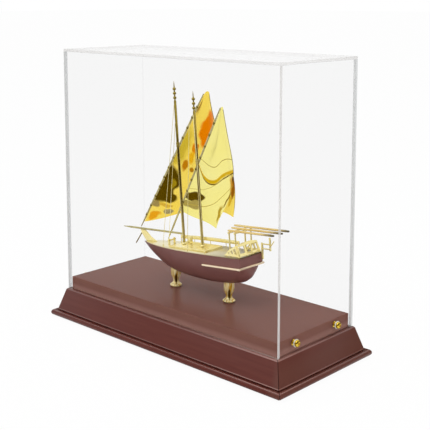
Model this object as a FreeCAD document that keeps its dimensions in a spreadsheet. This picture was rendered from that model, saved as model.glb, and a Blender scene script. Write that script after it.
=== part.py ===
import FreeCAD, Part
import math
import operator
import os
from types import SimpleNamespace

import Sketcher
from FreeCAD import Placement, Rotation, Vector

# Driving sizes in millimetres, angles in degrees. Every other length follows from these.
SIZES = dict(
    # Acrylic cover
    cover_length=340,
    cover_width=132,
    cover_height=302,
    sheet_gauge=3,
    # Base moulding, measured outwards from the cover's outer face
    foot_height=1.5,
    foot_radius=7,
    moulding_height=34.7,
    ledge_lip=2,
    skirt_reach=10.4,
    bead_reach=16.4,
    bead_height=7.6,
    rebate_shelf=6,
    # Plinth board and the hidden parts below it
    board_gap=0.5,
    board_rise=15.5,
    board_sink=4.5,
    board_rounding=0.8,
    panel_gauge=3,
    panel_gap=0.3,
    block_leg=26,
    panel_screw_radius=1.5,
    panel_screw_grip=11,
    # Cover screws
    screw_spacing=72.6,
    screw_rise=9.5,
    screw_radius=2,
    screw_bite=8,
    head_radius=3.75,
    head_height=3.2,
    socket_radius=1.45,
    socket_depth=1.8,
    washer_radius=4.4,
    washer_gauge=1,
    running_fit=0.05,
    slot_clearance=0.4,
    insert_radius=3.2,
    insert_length=9,
    # Pillars under the ship
    pillar_spacing=87.2,
    pillar_foot_radius=7.3,
    pillar_neck_radius=3.5,
    pillar_top_radius=5.7,
    pillar_sink=28,
    bolt_radius=2,
    bolt_reach=12,
    bolt_head_radius=3.6,
    bolt_head_height=3,
    # Ship: deck height above the board, pitch of the deck, hull
    deck_rise=54.3,
    ship_pitch=4.8,
    hull_length=177,
    hull_beam=45.2,
    hull_depth=35.3,
    stern_rounding=9,
    deck_gauge=1,
    deck_inset=0.8,
    wale_drop=11.6,
    wale_height=2.4,
    wale_gauge=1.5,
    # Deck fittings
    hatch_start=-38,
    hatch_length=58,
    hatch_width=29,
    coaming_height=1.4,
    coaming_gauge=1.2,
    hatch_gauge=0.8,
    rail_height=8.5,
    rail_band=4.5,
    rail_gauge=1,
    taffrail_gauge=1.2,
    taffrail_height=15.6,
    taffrail_lean=19.6,
    gallows_height=27.4,
    gallows_width=31,
    gallows_radius=1,
    spar_radius=1.3,
    # Rig
    mast_radius=1.5,
    main_mast_position=-29,
    mizzen_mast_position=1.7,
    main_mast_height=200,
    mizzen_mast_height=187.7,
    finial_radius=1.5,
    parrel_wall=0.65,
    parrel_height=6,
    yard_radius=1,
    main_yard_length=207,
    mizzen_yard_length=190,
    main_yard_slope=36.6,
    mizzen_yard_slope=31.9,
    lashing_wall=0.5,
    lashing_length=2.2,
    sail_gauge=0.8,
    main_sail_belly=7,
    mizzen_sail_belly=5,
    bowsprit_radius=1.25,
    bowsprit_height=15.6,
    bowsprit_reach=137.7,
    wire_radius=0.3,
)

SIGNS = {"+": operator.add, "-": operator.sub, "*": operator.mul, "/": operator.truediv}


class Dim:
    """A length that carries its spreadsheet formula next to its number."""

    def __init__(self, number, formula):
        self.number = float(number)
        self.formula = formula

    def __add__(self, other):
        return join(self, "+", other)

    def __radd__(self, other):
        return join(other, "+", self)

    def __sub__(self, other):
        return join(self, "-", other)

    def __rsub__(self, other):
        return join(other, "-", self)

    def __mul__(self, other):
        return join(self, "*", other)

    def __rmul__(self, other):
        return join(other, "*", self)

    def __truediv__(self, other):
        return join(self, "/", other)

    def __neg__(self):
        return join(0, "-", self)


def dim(value):
    return value if isinstance(value, Dim) else Dim(value, repr(float(value)))


def join(a, sign, b):
    a = dim(a)
    b = dim(b)
    return Dim(SIGNS[sign](a.number, b.number), f"({a.formula} {sign} {b.formula})")


def trig(name, angle):
    return Dim(getattr(math, name)(math.radians(angle.number)), f"{name}({angle.formula} * 1 deg)")


def flat(point):
    return Vector(*[dim(value).number for value in point])


doc = FreeCAD.newDocument("display_case")
sheet = doc.addObject("Spreadsheet::Sheet", "sizes")
for row, (alias, value) in enumerate(SIZES.items(), start=1):
    sheet.set(f"A{row}", alias)
    sheet.set(f"B{row}", str(value))
    sheet.setAlias(f"B{row}", alias)
doc.recompute()
s = SimpleNamespace(**{alias: Dim(value, f"sizes.{alias}") for alias, value in SIZES.items()})
nodes = []


def bind(item, name, value):
    value = dim(value)
    item.setExpression(name, value.formula)


def place(item, x=0, y=0, z=0, axis=(0, 0, 1), angle=0):
    turn = Rotation(Vector(*axis), dim(angle).number)
    item.Placement = Placement(flat((x, y, z)), turn)
    for name, value in zip("xyz", (x, y, z)):
        bind(item, f"Placement.Base.{name}", value)
    if isinstance(angle, Dim):
        bind(item, "Placement.Rotation.Angle", angle)
    return item


def keep(item, label):
    item.Label = label
    nodes.append(item)
    return item


def box(length, width, height, x, y, z):
    item = doc.addObject("Part::Box", "block")
    bind(item, "Length", length)
    bind(item, "Width", width)
    bind(item, "Height", height)
    return place(item, x, y, z)


def rod(radius, height, x, y, z, axis=(0, 0, 1), angle=0):
    item = doc.addObject("Part::Cylinder", "rod")
    bind(item, "Radius", radius)
    bind(item, "Height", height)
    return place(item, x, y, z, axis, angle)


def cross_rod(radius, length, x, z):
    """A rod along Y, centred on the middle plane."""
    return rod(radius, length, x, -length / 2, z, (1, 0, 0), -90)


def strut(radius, start, end):
    """A rod between two points given in the ship's frame."""
    start = flat(start)
    span = flat(end) - start
    item = doc.addObject("Part::Cylinder", "strut")
    bind(item, "Radius", radius)
    item.Height = span.Length
    item.Placement = Placement(start, Rotation(Vector(0, 0, 1), span))
    return item


def merge(items):
    item = doc.addObject("Part::MultiFuse", "merged")
    item.Shapes = items
    return item


def group(items):
    item = doc.addObject("Part::Compound", "group")
    item.Links = items
    return item


def cut(base, tool):
    item = doc.addObject("Part::Cut", "cut")
    item.Base = base
    item.Tool = tool
    return item


def pin(sketch, geometry, vertex, point):
    """Hold one point of a sketch at coordinates bound to the sizes."""
    for kind, axis, value in zip(("DistanceX", "DistanceY"), (-2, -1), point):
        value = dim(value)
        if value.number == 0:
            sketch.addConstraint(Sketcher.Constraint("PointOnObject", geometry, vertex, axis))
            continue
        index = sketch.addConstraint(Sketcher.Constraint(kind, -1, 1, geometry, vertex, value.number))
        if "sizes" in value.formula:
            sketch.setExpression(f"Constraints[{index}]", value.formula)


def draw(sketch, loops):
    """Closed polygons as lists of points; a circle is one point and a radius."""
    for loop in loops:
        first = sketch.GeometryCount
        if isinstance(loop, tuple):
            centre, radius = loop
            sketch.addGeometry(Part.Circle(flat((*centre, 0)), Vector(0, 0, 1), radius.number))
            index = sketch.addConstraint(Sketcher.Constraint("Radius", first, radius.number))
            sketch.setExpression(f"Constraints[{index}]", radius.formula)
            pin(sketch, first, 3, centre)
            continue
        corners = [flat((*point, 0)) for point in loop]
        count = len(loop)
        for i in range(count):
            sketch.addGeometry(Part.LineSegment(corners[i], corners[(i + 1) % count]))
        for i in range(count):
            sketch.addConstraint(Sketcher.Constraint("Coincident", first + i, 2, first + (i + 1) % count, 1))
        for i in range(count):
            pin(sketch, first + i, 1, loop[i])
    return sketch


def body_sketch(body, plane, loops, offset=0):
    """A sketch on one of the body's own planes: 3 is XY, 4 is XZ, 5 is YZ."""
    sketch = body.newObject("Sketcher::SketchObject", "profile")
    sketch.AttachmentSupport = [(body.Origin.OriginFeatures[plane], "")]
    sketch.MapMode = "FlatFace"
    if isinstance(offset, Dim):
        bind(sketch, "AttachmentOffset.Base.z", offset)
    return draw(sketch, loops)


def turned(profile):
    """A body turned about Z from a profile of radius and height pairs."""
    body = doc.addObject("PartDesign::Body", "turned")
    sketch = body_sketch(body, 4, [profile])
    spin = body.newObject("PartDesign::Revolution", "spin")
    spin.Profile = sketch
    spin.ReferenceAxis = (sketch, ["V_Axis"])
    spin.Angle = 360
    return body


def ring_profile(bore, radius, depth):
    """The profile of a plain ring that hangs below the seat."""
    return [(bore, -depth), (radius, -depth), (radius, 0), (bore, 0)]


def slab(loops, height, z):
    """Polygons in the XY plane pushed up along Z."""
    sketch = draw(doc.addObject("Sketcher::SketchObject", "outline"), loops)
    return push(place(sketch, 0, 0, z), height, Vector(0, 0, 1))


def plate(loops, gauge, y):
    """Polygons in the XZ plane pushed along +Y."""
    sketch = draw(doc.addObject("Sketcher::SketchObject", "outline"), loops)
    return push(place(sketch, 0, y, 0, (1, 0, 0), 90), gauge, Vector(0, 1, 0))


def push(sketch, length, direction):
    item = doc.addObject("Part::Extrusion", "pushed")
    item.Base = sketch
    item.DirMode = "Custom"
    item.Dir = direction
    item.Solid = True
    item.FaceMakerClass = "Part::FaceMakerBullseye"
    bind(item, "LengthFwd", length)
    return item


def formed(shape):
    """A piece of free form, for which no primitive or sketch serves."""
    item = doc.addObject("Part::Feature", "formed")
    item.Shape = shape
    return item


ledge = s.foot_height + s.moulding_height
board_top = ledge + s.board_rise
board_bottom = ledge - s.board_sink
half_length = s.cover_length / 2
half_width = s.cover_width / 2
inner_step = s.sheet_gauge + s.board_gap + s.rebate_shelf


# Base moulding: one profile, mitred at both ends, turned to the four sides
def moulding(label, depth, span, angle):
    body = doc.addObject("PartDesign::Body", label)
    lip = s.sheet_gauge + s.board_gap
    shelf = s.moulding_height - s.board_sink
    profile = [
        (s.ledge_lip, s.moulding_height),
        (s.skirt_reach, s.bead_height),
        (s.bead_reach, s.bead_height),
        (s.bead_reach, dim(0)),
        (-inner_step, dim(0)),
        (-inner_step, shelf),
        (-lip, shelf),
        (-lip, s.moulding_height),
    ]
    sketch = body_sketch(body, 5, [[(-(depth + out), up) for out, up in profile]])
    pad = body.newObject("PartDesign::Pad", "bar")
    pad.Profile = sketch
    pad.Midplane = True
    bind(pad, "Length", 2 * (span + s.bead_reach))
    doc.recompute()
    front = -(depth + s.bead_reach).number
    nose = [
        f"Edge{i}"
        for i, edge in enumerate(pad.Shape.Edges, start=1)
        if all(abs(vertex.Y - front) < 1e-4 for vertex in edge.Vertexes) and edge.Length > span.number
    ]
    bead = body.newObject("PartDesign::Fillet", "bead")
    bead.Base = (pad, nose)
    bind(bead, "Radius", s.bead_height * 0.49)
    over = s.bead_reach + 5
    corners = [
        [
            (side * (span + over), -(depth + over)),
            (side * (span - over), -(depth - over)),
            (side * (span + over), -(depth - over)),
        ]
        for side in (1, -1)
    ]
    mitre = body.newObject("PartDesign::Pocket", "mitre")
    mitre.Profile = body_sketch(body, 3, corners)
    mitre.Type = "ThroughAll"
    mitre.Midplane = True
    place(body, 0, 0, s.foot_height, (0, 0, 1), angle)
    return keep(body, label)


moulding("moulding_front", half_width, half_length, 0)
moulding("moulding_right", half_length, half_width, 90)
moulding("moulding_rear", half_width, half_length, 180)
moulding("moulding_left", half_length, half_width, 270)

corner_x = half_length - inner_step
corner_y = half_width - inner_step
QUADRANTS = ((1, 1), (-1, 1), (-1, -1), (1, -1))
panel_bottom = s.foot_height
panel_top = s.foot_height + s.panel_gauge
block_height = board_bottom - panel_top
screw_in = s.block_leg * 0.3
screw_spots = [(a * (corner_x - screw_in), b * (corner_y - screw_in)) for a, b in QUADRANTS]

# Glue blocks in the corners, with the bottom panel screwed up into them
blocks = slab(
    [
        [
            (a * corner_x, b * corner_y),
            (a * (corner_x - s.block_leg), b * corner_y),
            (a * corner_x, b * (corner_y - s.block_leg)),
        ]
        for a, b in QUADRANTS
    ],
    block_height,
    panel_top,
)
pilots = group([rod(s.panel_screw_radius, s.panel_screw_grip, x, y, panel_top) for x, y in screw_spots])
keep(cut(blocks, pilots), "corner_blocks")

sink = s.panel_gauge / 2
panel = box(
    2 * (corner_x - s.panel_gap),
    2 * (corner_y - s.panel_gap),
    s.panel_gauge,
    -(corner_x - s.panel_gap),
    -(corner_y - s.panel_gap),
    panel_bottom,
)
panel_holes = [rod(s.panel_screw_radius + 0.2, s.panel_gauge, x, y, panel_bottom) for x, y in screw_spots]
panel_sinks = [rod(s.panel_screw_radius * 2.2, sink, x, y, panel_bottom) for x, y in screw_spots]
keep(cut(panel, merge(panel_holes + panel_sinks)), "bottom_panel")
panel_screws = []
for x, y in screw_spots:
    head = rod(s.panel_screw_radius * 2, sink * 0.9, x, y, panel_bottom + sink * 0.1)
    shank = rod(s.panel_screw_radius, s.panel_screw_grip + s.panel_gauge - sink, x, y, panel_bottom + sink)
    panel_screws.append(merge([head, shank]))
keep(group(panel_screws), "bottom_panel_screws")

feet_made = [rod(s.foot_radius, s.foot_height, a * half_length, b * half_width, 0) for a, b in QUADRANTS]
keep(group(feet_made), "felt_feet")


# Plinth board with bores for the pillar bolts and for the threaded inserts at both ends
board_length = s.cover_length - 2 * (s.sheet_gauge + s.board_gap)
board_width = s.cover_width - 2 * (s.sheet_gauge + s.board_gap)
board_gauge = s.board_rise + s.board_sink
board = doc.addObject("PartDesign::Body", "plinth_board")
outline = body_sketch(
    board,
    3,
    [[(a * board_length / 2, b * board_width / 2) for a, b in QUADRANTS]],
)
board_pad = board.newObject("PartDesign::Pad", "slab")
board_pad.Profile = outline
bind(board_pad, "Length", board_gauge)
doc.recompute()
rims = [
    f"Edge{i}"
    for i, edge in enumerate(board_pad.Shape.Edges, start=1)
    if all(abs(vertex.Z - board_gauge.number) < 1e-4 for vertex in edge.Vertexes)
]
rim = board.newObject("PartDesign::Fillet", "rim")
rim.Base = (board_pad, rims)
bind(rim, "Radius", s.board_rounding)
pillar_spots = (-s.pillar_spacing / 2, s.pillar_spacing / 2)
bolts = board.newObject("PartDesign::Pocket", "bolt_bores")
bolts.Profile = body_sketch(board, 3, [((x, 0), s.bolt_radius + 0.2) for x in pillar_spots])
bolts.Type = "ThroughAll"
bolts.Midplane = True
screw_up = s.board_sink + s.screw_rise
screw_ends = (-s.screw_spacing / 2, s.screw_spacing / 2)
for side in (1, -1):
    bores = board.newObject("PartDesign::Pocket", "insert_bores")
    circles = [((y, screw_up), s.insert_radius) for y in screw_ends]
    bores.Profile = body_sketch(board, 5, circles, side * board_length / 2)
    bind(bores, "Length", s.insert_length)
    bores.Reversed = side < 0
keep(place(board, 0, 0, board_bottom), "plinth_board")

# Threaded inserts, washers and screws: turned pieces laid along X at both ends
SPOTS = (
    ("right_front", 1, -s.screw_spacing / 2),
    ("right_rear", 1, s.screw_spacing / 2),
    ("left_front", -1, -s.screw_spacing / 2),
    ("left_rear", -1, s.screw_spacing / 2),
)
screw_height = ledge + s.screw_rise
bore = s.screw_radius + s.running_fit
inserts = []
for name, side, y in SPOTS:
    tube = turned(ring_profile(bore, s.insert_radius, s.insert_length))
    inserts.append(place(tube, side * board_length / 2, y, screw_height, (0, 1, 0), side * 90))
keep(group(inserts), "screw_inserts")

for name, side, y in SPOTS:
    seat = side * (half_length + s.washer_gauge)
    ring = turned(ring_profile(bore, s.washer_radius, s.washer_gauge))
    keep(place(ring, seat, y, screw_height, (0, 1, 0), side * 90), f"washer_{name}")
    reach = s.washer_gauge + s.sheet_gauge + s.board_gap + s.screw_bite
    screw = turned(
        [
            (0, -reach),
            (s.screw_radius, -reach),
            (s.screw_radius, 0),
            (s.head_radius, 0),
            (s.head_radius, s.head_height * 0.5),
            (s.head_radius * 0.9, s.head_height * 0.82),
            (s.head_radius * 0.66, s.head_height),
            (0, s.head_height),
        ]
    )
    turns = [math.radians(60 * k + 1e-6) for k in range(6)]
    hexagon = [(s.socket_radius * math.cos(turn), s.socket_radius * math.sin(turn)) for turn in turns]
    socket = screw.newObject("PartDesign::Pocket", "socket")
    socket.Profile = body_sketch(screw, 3, [hexagon], s.head_height)
    bind(socket, "Length", s.socket_depth)
    keep(place(screw, seat, y, screw_height, (0, 1, 0), side * 90), f"cover_screw_{name}")


# Cover: five bonded sheets; the ends have slots open at the bottom that pass over the screws
wall_height = s.cover_height - s.sheet_gauge
for label, y in (("cover_front", -half_width), ("cover_rear", half_width - s.sheet_gauge)):
    keep(box(s.cover_length, s.sheet_gauge, wall_height, -half_length, y, ledge), label)
end_width = s.cover_width - 2 * s.sheet_gauge
slot_radius = s.screw_radius + s.slot_clearance
for label, x in (("cover_left_end", -half_length), ("cover_right_end", half_length - s.sheet_gauge)):
    blank = box(s.sheet_gauge, end_width, wall_height, x, -end_width / 2, ledge)
    slots = []
    for y in screw_ends:
        slots.append(box(s.sheet_gauge, 2 * slot_radius, s.screw_rise, x, y - slot_radius, ledge))
        slots.append(rod(slot_radius, s.sheet_gauge, x, y, screw_height, (0, 1, 0), 90))
    keep(cut(blank, merge(slots)), label)
top_sheet = box(s.cover_length, s.cover_width, s.sheet_gauge, -half_length, -half_width, ledge + wall_height)
keep(top_sheet, "cover_top")


# Ship: everything below is drawn in the ship's frame, with X aft and Z square to the deck
deck_height = board_top + s.deck_rise


def aboard(item, label):
    node = place(group([item]), 0, 0, deck_height, (0, 1, 0), -s.ship_pitch)
    return keep(node, label)


# Hull stations: position and half-breadth as shares of length and beam, depth as a share of the
# greatest depth, then how much of the bow, middle and stern section is blended in
STATIONS = (
    (-0.5616, 0.0111, 0.017, 1.0, 0.0, 0.0),
    (-0.5508, 0.0354, 0.070, 1.0, 0.0, 0.0),
    (-0.5085, 0.1173, 0.255, 1.0, 0.0, 0.0),
    (-0.4407, 0.2212, 0.487, 0.8, 0.2, 0.0),
    (-0.3616, 0.3164, 0.703, 0.5, 0.5, 0.0),
    (-0.2825, 0.3850, 0.816, 0.25, 0.75, 0.0),
    (-0.1695, 0.4535, 0.895, 0.0, 1.0, 0.0),
    (-0.0282, 0.4934, 0.969, 0.0, 1.0, 0.0),
    (0.1130, 0.5000, 1.000, 0.0, 1.0, 0.0),
    (0.2373, 0.4867, 0.986, 0.0, 0.85, 0.15),
    (0.3390, 0.4668, 0.935, 0.0, 0.5, 0.5),
    (0.3955, 0.4535, 0.850, 0.0, 0.25, 0.75),
    (0.4379, 0.4425, 0.751, 0.0, 0.0, 1.0),
)
SECTIONS = (
    ((0, 1), (0.20, 0.82), (0.40, 0.62), (0.60, 0.42), (0.78, 0.23), (0.90, 0.10), (1, 0)),
    ((0, 1), (0.32, 0.965), (0.64, 0.80), (0.86, 0.54), (0.96, 0.28), (0.99, 0.12), (1, 0)),
    ((0, 1), (0.33, 0.93), (0.63, 0.79), (0.85, 0.61), (0.97, 0.43), (1.0, 0.20), (1, 0)),
)
hull_end = STATIONS[-1][0] * s.hull_length


def station_at(along):
    """The station that lies at a share of the length, blended from its neighbours."""
    for near, far in zip(STATIONS, STATIONS[1:]):
        if along <= far[0]:
            break
    share = min(1, (along - near[0]) / (far[0] - near[0]))
    return [a + (b - a) * share for a, b in zip(near, far)]


def breadth(x):
    """Half-breadth of the deck edge at a position along the ship, as a bound length."""
    return s.hull_beam * station_at(dim(x).number / s.hull_length.number)[1]


def hull_wire(station, back=None):
    """One closed section; with a distance from the stern, its waterlines are rounded in."""
    along, wide, deep, *blend = station
    lean = blend[2] * math.tan(math.radians(s.ship_pitch.number))
    side = []
    for i in range(len(SECTIONS[0])):
        out = sum(share * section[i][0] for share, section in zip(blend, SECTIONS))
        down = sum(share * section[i][1] for share, section in zip(blend, SECTIONS))
        drop = -down * deep * s.hull_depth.number
        half = out * wide * s.hull_beam.number
        if back is not None:
            bend = min(s.stern_rounding.number, 0.75 * half)
            inward = max(0, bend - back)
            half += math.sqrt(bend * bend - inward * inward) - bend
            drop *= 0.83 + 0.17 * math.sqrt(1 - (1 - back / s.stern_rounding.number) ** 2)
        side.append(Vector(along * s.hull_length.number + drop * lean, half, drop))
    starboard = Part.BSplineCurve()
    starboard.interpolate(side)
    port = Part.BSplineCurve()
    port.interpolate([Vector(p.x, -p.y, p.z) for p in reversed(side)])
    top = Part.LineSegment(side[-1], Vector(side[-1].x, -side[-1].y, side[-1].z))
    return Part.Wire([starboard.toShape(), top.toShape(), port.toShape()])


# The hull is two glued lifts that meet at the wale: the upper one ends in a flat transom, the lower
# one is drawn in and rounded at the stern
sharp_loft = Part.makeLoft([hull_wire(station) for station in STATIONS], True)
sections = [hull_wire(station) for station in STATIONS[:-2]]
for share in (1, 0.6, 0.32, 0.14, 0.04, 0):
    back = share * s.stern_rounding.number
    sections.append(hull_wire(station_at(STATIONS[-1][0] - back / s.hull_length.number), back))
round_loft = Part.makeLoft(sections, True)
reach = 2 * s.hull_length.number
above = Part.makeBox(reach, reach, reach, Vector(-reach / 2, -reach / 2, -s.wale_drop.number))
upper_lift = formed(sharp_loft.common(above))
lower_lift = formed(round_loft.cut(above))
aboard(upper_lift, "hull_topsides")
hull_bottom = aboard(lower_lift, "hull_bottom")


def fitted(item):
    """A piece cut to sit against both lifts of the hull."""
    return cut(cut(item, upper_lift), lower_lift)


deck_side = [(row[0] * s.hull_length, row[1] * s.hull_beam - s.deck_inset) for row in STATIONS[2:]]
deck_side[0] = (deck_side[0][0] - 5, deck_side[0][1] * 0.5)
deck_side[-1] = (deck_side[-1][0] - s.deck_inset, deck_side[-1][1])
deck_outline = deck_side + [(x, -y) for x, y in reversed(deck_side)]
aboard(slab([deck_outline], s.deck_gauge, 0), "deck")

# Wale: a rubbing strip along both quarters and across the transom
wale_start = 0.124 * s.hull_length.number
wale_low = -(s.wale_drop + s.wale_height / 2)
wale_end = hull_end - s.wale_drop * trig("tan", s.ship_pitch) - 0.2
wale_stops = [wale_start + (wale_end.number - wale_start) * k / 5 for k in range(6)]


def wale_side(sign):
    rings = []
    for x in wale_stops:
        out = sign * (breadth(x).number + s.wale_gauge.number)
        inner = sign * (breadth(x).number - 5)
        low = wale_low.number
        high = low + s.wale_height.number
        corners = ((inner, low), (out, low), (out, high), (inner, high), (inner, low))
        rings.append(Part.makePolygon([Vector(x, y, z) for y, z in corners]))
    return fitted(formed(Part.makeLoft(rings, True, True)))


aboard(wale_side(-1), "wale_port")
aboard(wale_side(1), "wale_starboard")
wale_half = STATIONS[-1][1] * s.hull_beam + s.wale_gauge
wale_across = box(s.wale_gauge + 0.2, 2 * wale_half, s.wale_height, wale_end, -wale_half, wale_low)
aboard(fitted(wale_across), "wale_stern")

# Pillars: turned brass, shaped to the hull at the top and bolted through the board
pillar_height = s.deck_rise - s.pillar_sink
foot = s.pillar_foot_radius
neck = s.pillar_neck_radius
crown = s.pillar_top_radius
bolts_made = []
for label, x in zip(("pillar_fore", "pillar_aft"), pillar_spots):
    blank = turned(
        [
            (s.bolt_radius, 0),
            (foot, 0),
            (foot, pillar_height * 0.06),
            (foot * 0.93, pillar_height * 0.10),
            (foot * 0.62, pillar_height * 0.155),
            (neck * 1.04, pillar_height * 0.215),
            (neck, pillar_height * 0.29),
            (neck + (crown - neck) * 0.30, pillar_height * 0.45),
            (neck + (crown - neck) * 0.72, pillar_height * 0.62),
            (crown, pillar_height * 0.76),
            (crown, pillar_height),
            (0, pillar_height),
            (0, s.bolt_reach),
            (s.bolt_radius, s.bolt_reach),
        ]
    )
    place(blank, x, 0, board_top)
    keep(cut(blank, hull_bottom), label)
    head = rod(s.bolt_head_radius, s.bolt_head_height, x, 0, board_bottom - s.bolt_head_height)
    shank = rod(s.bolt_radius, board_gauge + s.bolt_reach, x, 0, board_bottom)
    bolts_made.append(merge([head, shank]))
keep(group(bolts_made), "pillar_bolts")

# Raised hatch on the deck, pierced by both masts
deck_top = s.deck_gauge
mast_spots = (s.main_mast_position, s.mizzen_mast_position)
coaming = box(s.hatch_length, s.hatch_width, s.coaming_height, s.hatch_start, -s.hatch_width / 2, deck_top)
well = box(
    s.hatch_length - 2 * s.coaming_gauge,
    s.hatch_width - 2 * s.coaming_gauge,
    s.coaming_height,
    s.hatch_start + s.coaming_gauge,
    -s.hatch_width / 2 + s.coaming_gauge,
    deck_top,
)
aboard(cut(coaming, well), "hatch_coaming")
hatch_bottom = deck_top + s.coaming_height
hatch_top = hatch_bottom + s.hatch_gauge
lid = box(
    s.hatch_length + s.coaming_gauge,
    s.hatch_width + s.coaming_gauge,
    s.hatch_gauge,
    s.hatch_start - s.coaming_gauge / 2,
    -(s.hatch_width + s.coaming_gauge) / 2,
    hatch_bottom,
)
lid_holes = merge([rod(s.mast_radius, s.hatch_gauge, x, 0, hatch_bottom) for x in mast_spots])
aboard(cut(lid, lid_holes), "hatch_cover")
boots = []
for x in mast_spots:
    boots.append(cut(rod(s.mast_radius * 1.9, 2, x, 0, hatch_top), rod(s.mast_radius, 2, x, 0, hatch_top)))
aboard(group(boots), "mast_boots")

# Starboard rail on stanchions, and the deadeyes on the open port side
rail_stops = [k * s.hull_length for k in (-0.2825, -0.1695, -0.0282, 0.1130, 0.2373)]
rail_outer = [(x, breadth(x) - 1) for x in rail_stops]
rail_inner = [(x, breadth(x) - 1 - s.rail_gauge) for x in rail_stops]
rail_low = deck_top + s.rail_height - s.rail_band
aboard(slab([rail_outer + rail_inner[::-1]], s.rail_band, rail_low), "starboard_rail")
stanchions = []
for x in rail_stops:
    out = breadth(x) - 1 - s.rail_gauge / 2
    stanchions.append(rod(s.rail_gauge * 0.45, rail_low - deck_top, x, out, deck_top))
aboard(group(stanchions), "rail_stanchions")
deadeye_stops = (-50, -4, 24)
deadeye_height = 3.5
deadeyes = [rod(dim(0.9), dim(deadeye_height), x, 2.6 - breadth(x), deck_top) for x in deadeye_stops]
aboard(group(deadeyes), "deadeyes")

# Bow: stem plate under the bowsprit, martingale rod, bitts on the foredeck
stem_top = s.bowsprit_height - s.bowsprit_radius
stem = 0.5616 * s.hull_length
stem_outline = [
    (-stem + 3.4, deck_top),
    (-stem + 23, deck_top),
    (-stem + 4, stem_top - 1),
    (-stem + 1.5, stem_top),
    (-stem - 5.6, stem_top),
    (-stem - 3.6, stem_top - 5),
]
stem_plate = plate([stem_outline], dim(1.6), -0.8)
aboard(stem_plate, "stem_plate")
sprit_length = s.bowsprit_reach + s.main_mast_position - s.mast_radius
sprit_radius = s.bowsprit_radius
sprit = turned([(0, 0), (0.5, 0), (sprit_radius, 14), (sprit_radius, sprit_length), (0, sprit_length)])
aboard(place(sprit, -s.bowsprit_reach, 0, s.bowsprit_height, (0, 1, 0), 90), "bowsprit")
martingale = strut(dim(0.8), (-stem - 3.2, 0, stem_top - 3), (-stem - 17, 0, -4.5))
aboard(cut(martingale, stem_plate), "martingale")
bitt_x = -0.29 * s.hull_length
bitts = [box(2, 2, 7.5, bitt_x, side * 4.5 - 1, deck_top) for side in (1, -1)]
aboard(merge(bitts + [box(1.6, 13, 1.8, bitt_x + 0.2, -6.5, deck_top + 4.4)]), "bitts")
aboard(merge([box(4, 4.5, 8, -26.5, 4, hatch_top), box(5, 5.5, 1, -27, 3.5, hatch_top + 8)]), "binnacle")

# Stern: pierced taffrail, leaning forward across the transom, with a tapering panel on each quarter
lean = trig("tan", s.taffrail_lean)
taff_base = hull_end - 1.9
taff_side = breadth(hull_end) - 1.8
side_top = s.taffrail_height * 0.87


def raked(x, up):
    return (taff_base + x - lean * up, deck_top + up)


def feet(stops, width, gap):
    """The lower edge of a panel that stands clear of the deck on short feet."""
    edge = []
    for stop in stops:
        edge += [(stop, gap), (stop, 0), (stop + width, 0), (stop + width, gap)]
    return edge


quarter_outline = [
    raked(-23.6, 1.5),
    *[raked(x, up) for x, up in feet((-20, -11.6), 1.6, 1.5)],
    raked(-1.6, 1.5),
    raked(-1.6, 0),
    raked(0, 0),
    raked(0, side_top),
    raked(-4.0, side_top * 0.87),
    raked(-11.5, side_top * 0.62),
    raked(-19, side_top * 0.24),
]
quarter_windows = [
    [raked(a, 3.4), raked(b, 3.4), raked(b, side_top * high), raked(a, side_top * low)]
    for a, b, low, high in ((-15.6, -12.4, 0.36, 0.47), (-10.8, -6.9, 0.53, 0.65), (-5.4, -1.5, 0.70, 0.80))
]
for label, y in (("taffrail_port", -taff_side), ("taffrail_starboard", taff_side - s.taffrail_gauge)):
    aboard(plate([quarter_outline] + quarter_windows, s.taffrail_gauge, y), label)
stern_outline = [
    (-taff_side, 0),
    (1.6 - taff_side, 0),
    (1.6 - taff_side, 1.5),
    *feet((-taff_side * 0.32, taff_side * 0.23), 1.6, 1.5),
    (taff_side - 1.6, 1.5),
    (taff_side - 1.6, 0),
    (taff_side, 0),
    (taff_side * 0.96, s.taffrail_height * 0.90),
    (taff_side * 0.42, s.taffrail_height * 1.01),
    (-taff_side * 0.42, s.taffrail_height * 1.01),
    (-taff_side * 0.96, s.taffrail_height * 0.90),
]
stern_windows = [
    [
        (middle - reach, 3.4),
        (middle + reach, 3.4),
        (middle + reach, s.taffrail_height * 0.80),
        (middle - reach, s.taffrail_height * 0.80),
    ]
    for middle, reach in (
        (-taff_side * 0.60, taff_side * 0.27),
        (dim(0), taff_side * 0.225),
        (taff_side * 0.60, taff_side * 0.27),
    )
]
stern_sketch = draw(doc.addObject("Sketcher::SketchObject", "outline"), [stern_outline] + stern_windows)
stern_sketch.Placement = Placement(Vector(), Rotation(Vector(1, 1, 1), 120))
stern_panel = group([push(stern_sketch, s.taffrail_gauge, Vector(1, 0, 0))])
place(stern_panel, taff_base, 0, deck_top, (0, 1, 0), -s.taffrail_lean)
aboard(group([stern_panel]), "taffrail_stern")

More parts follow.
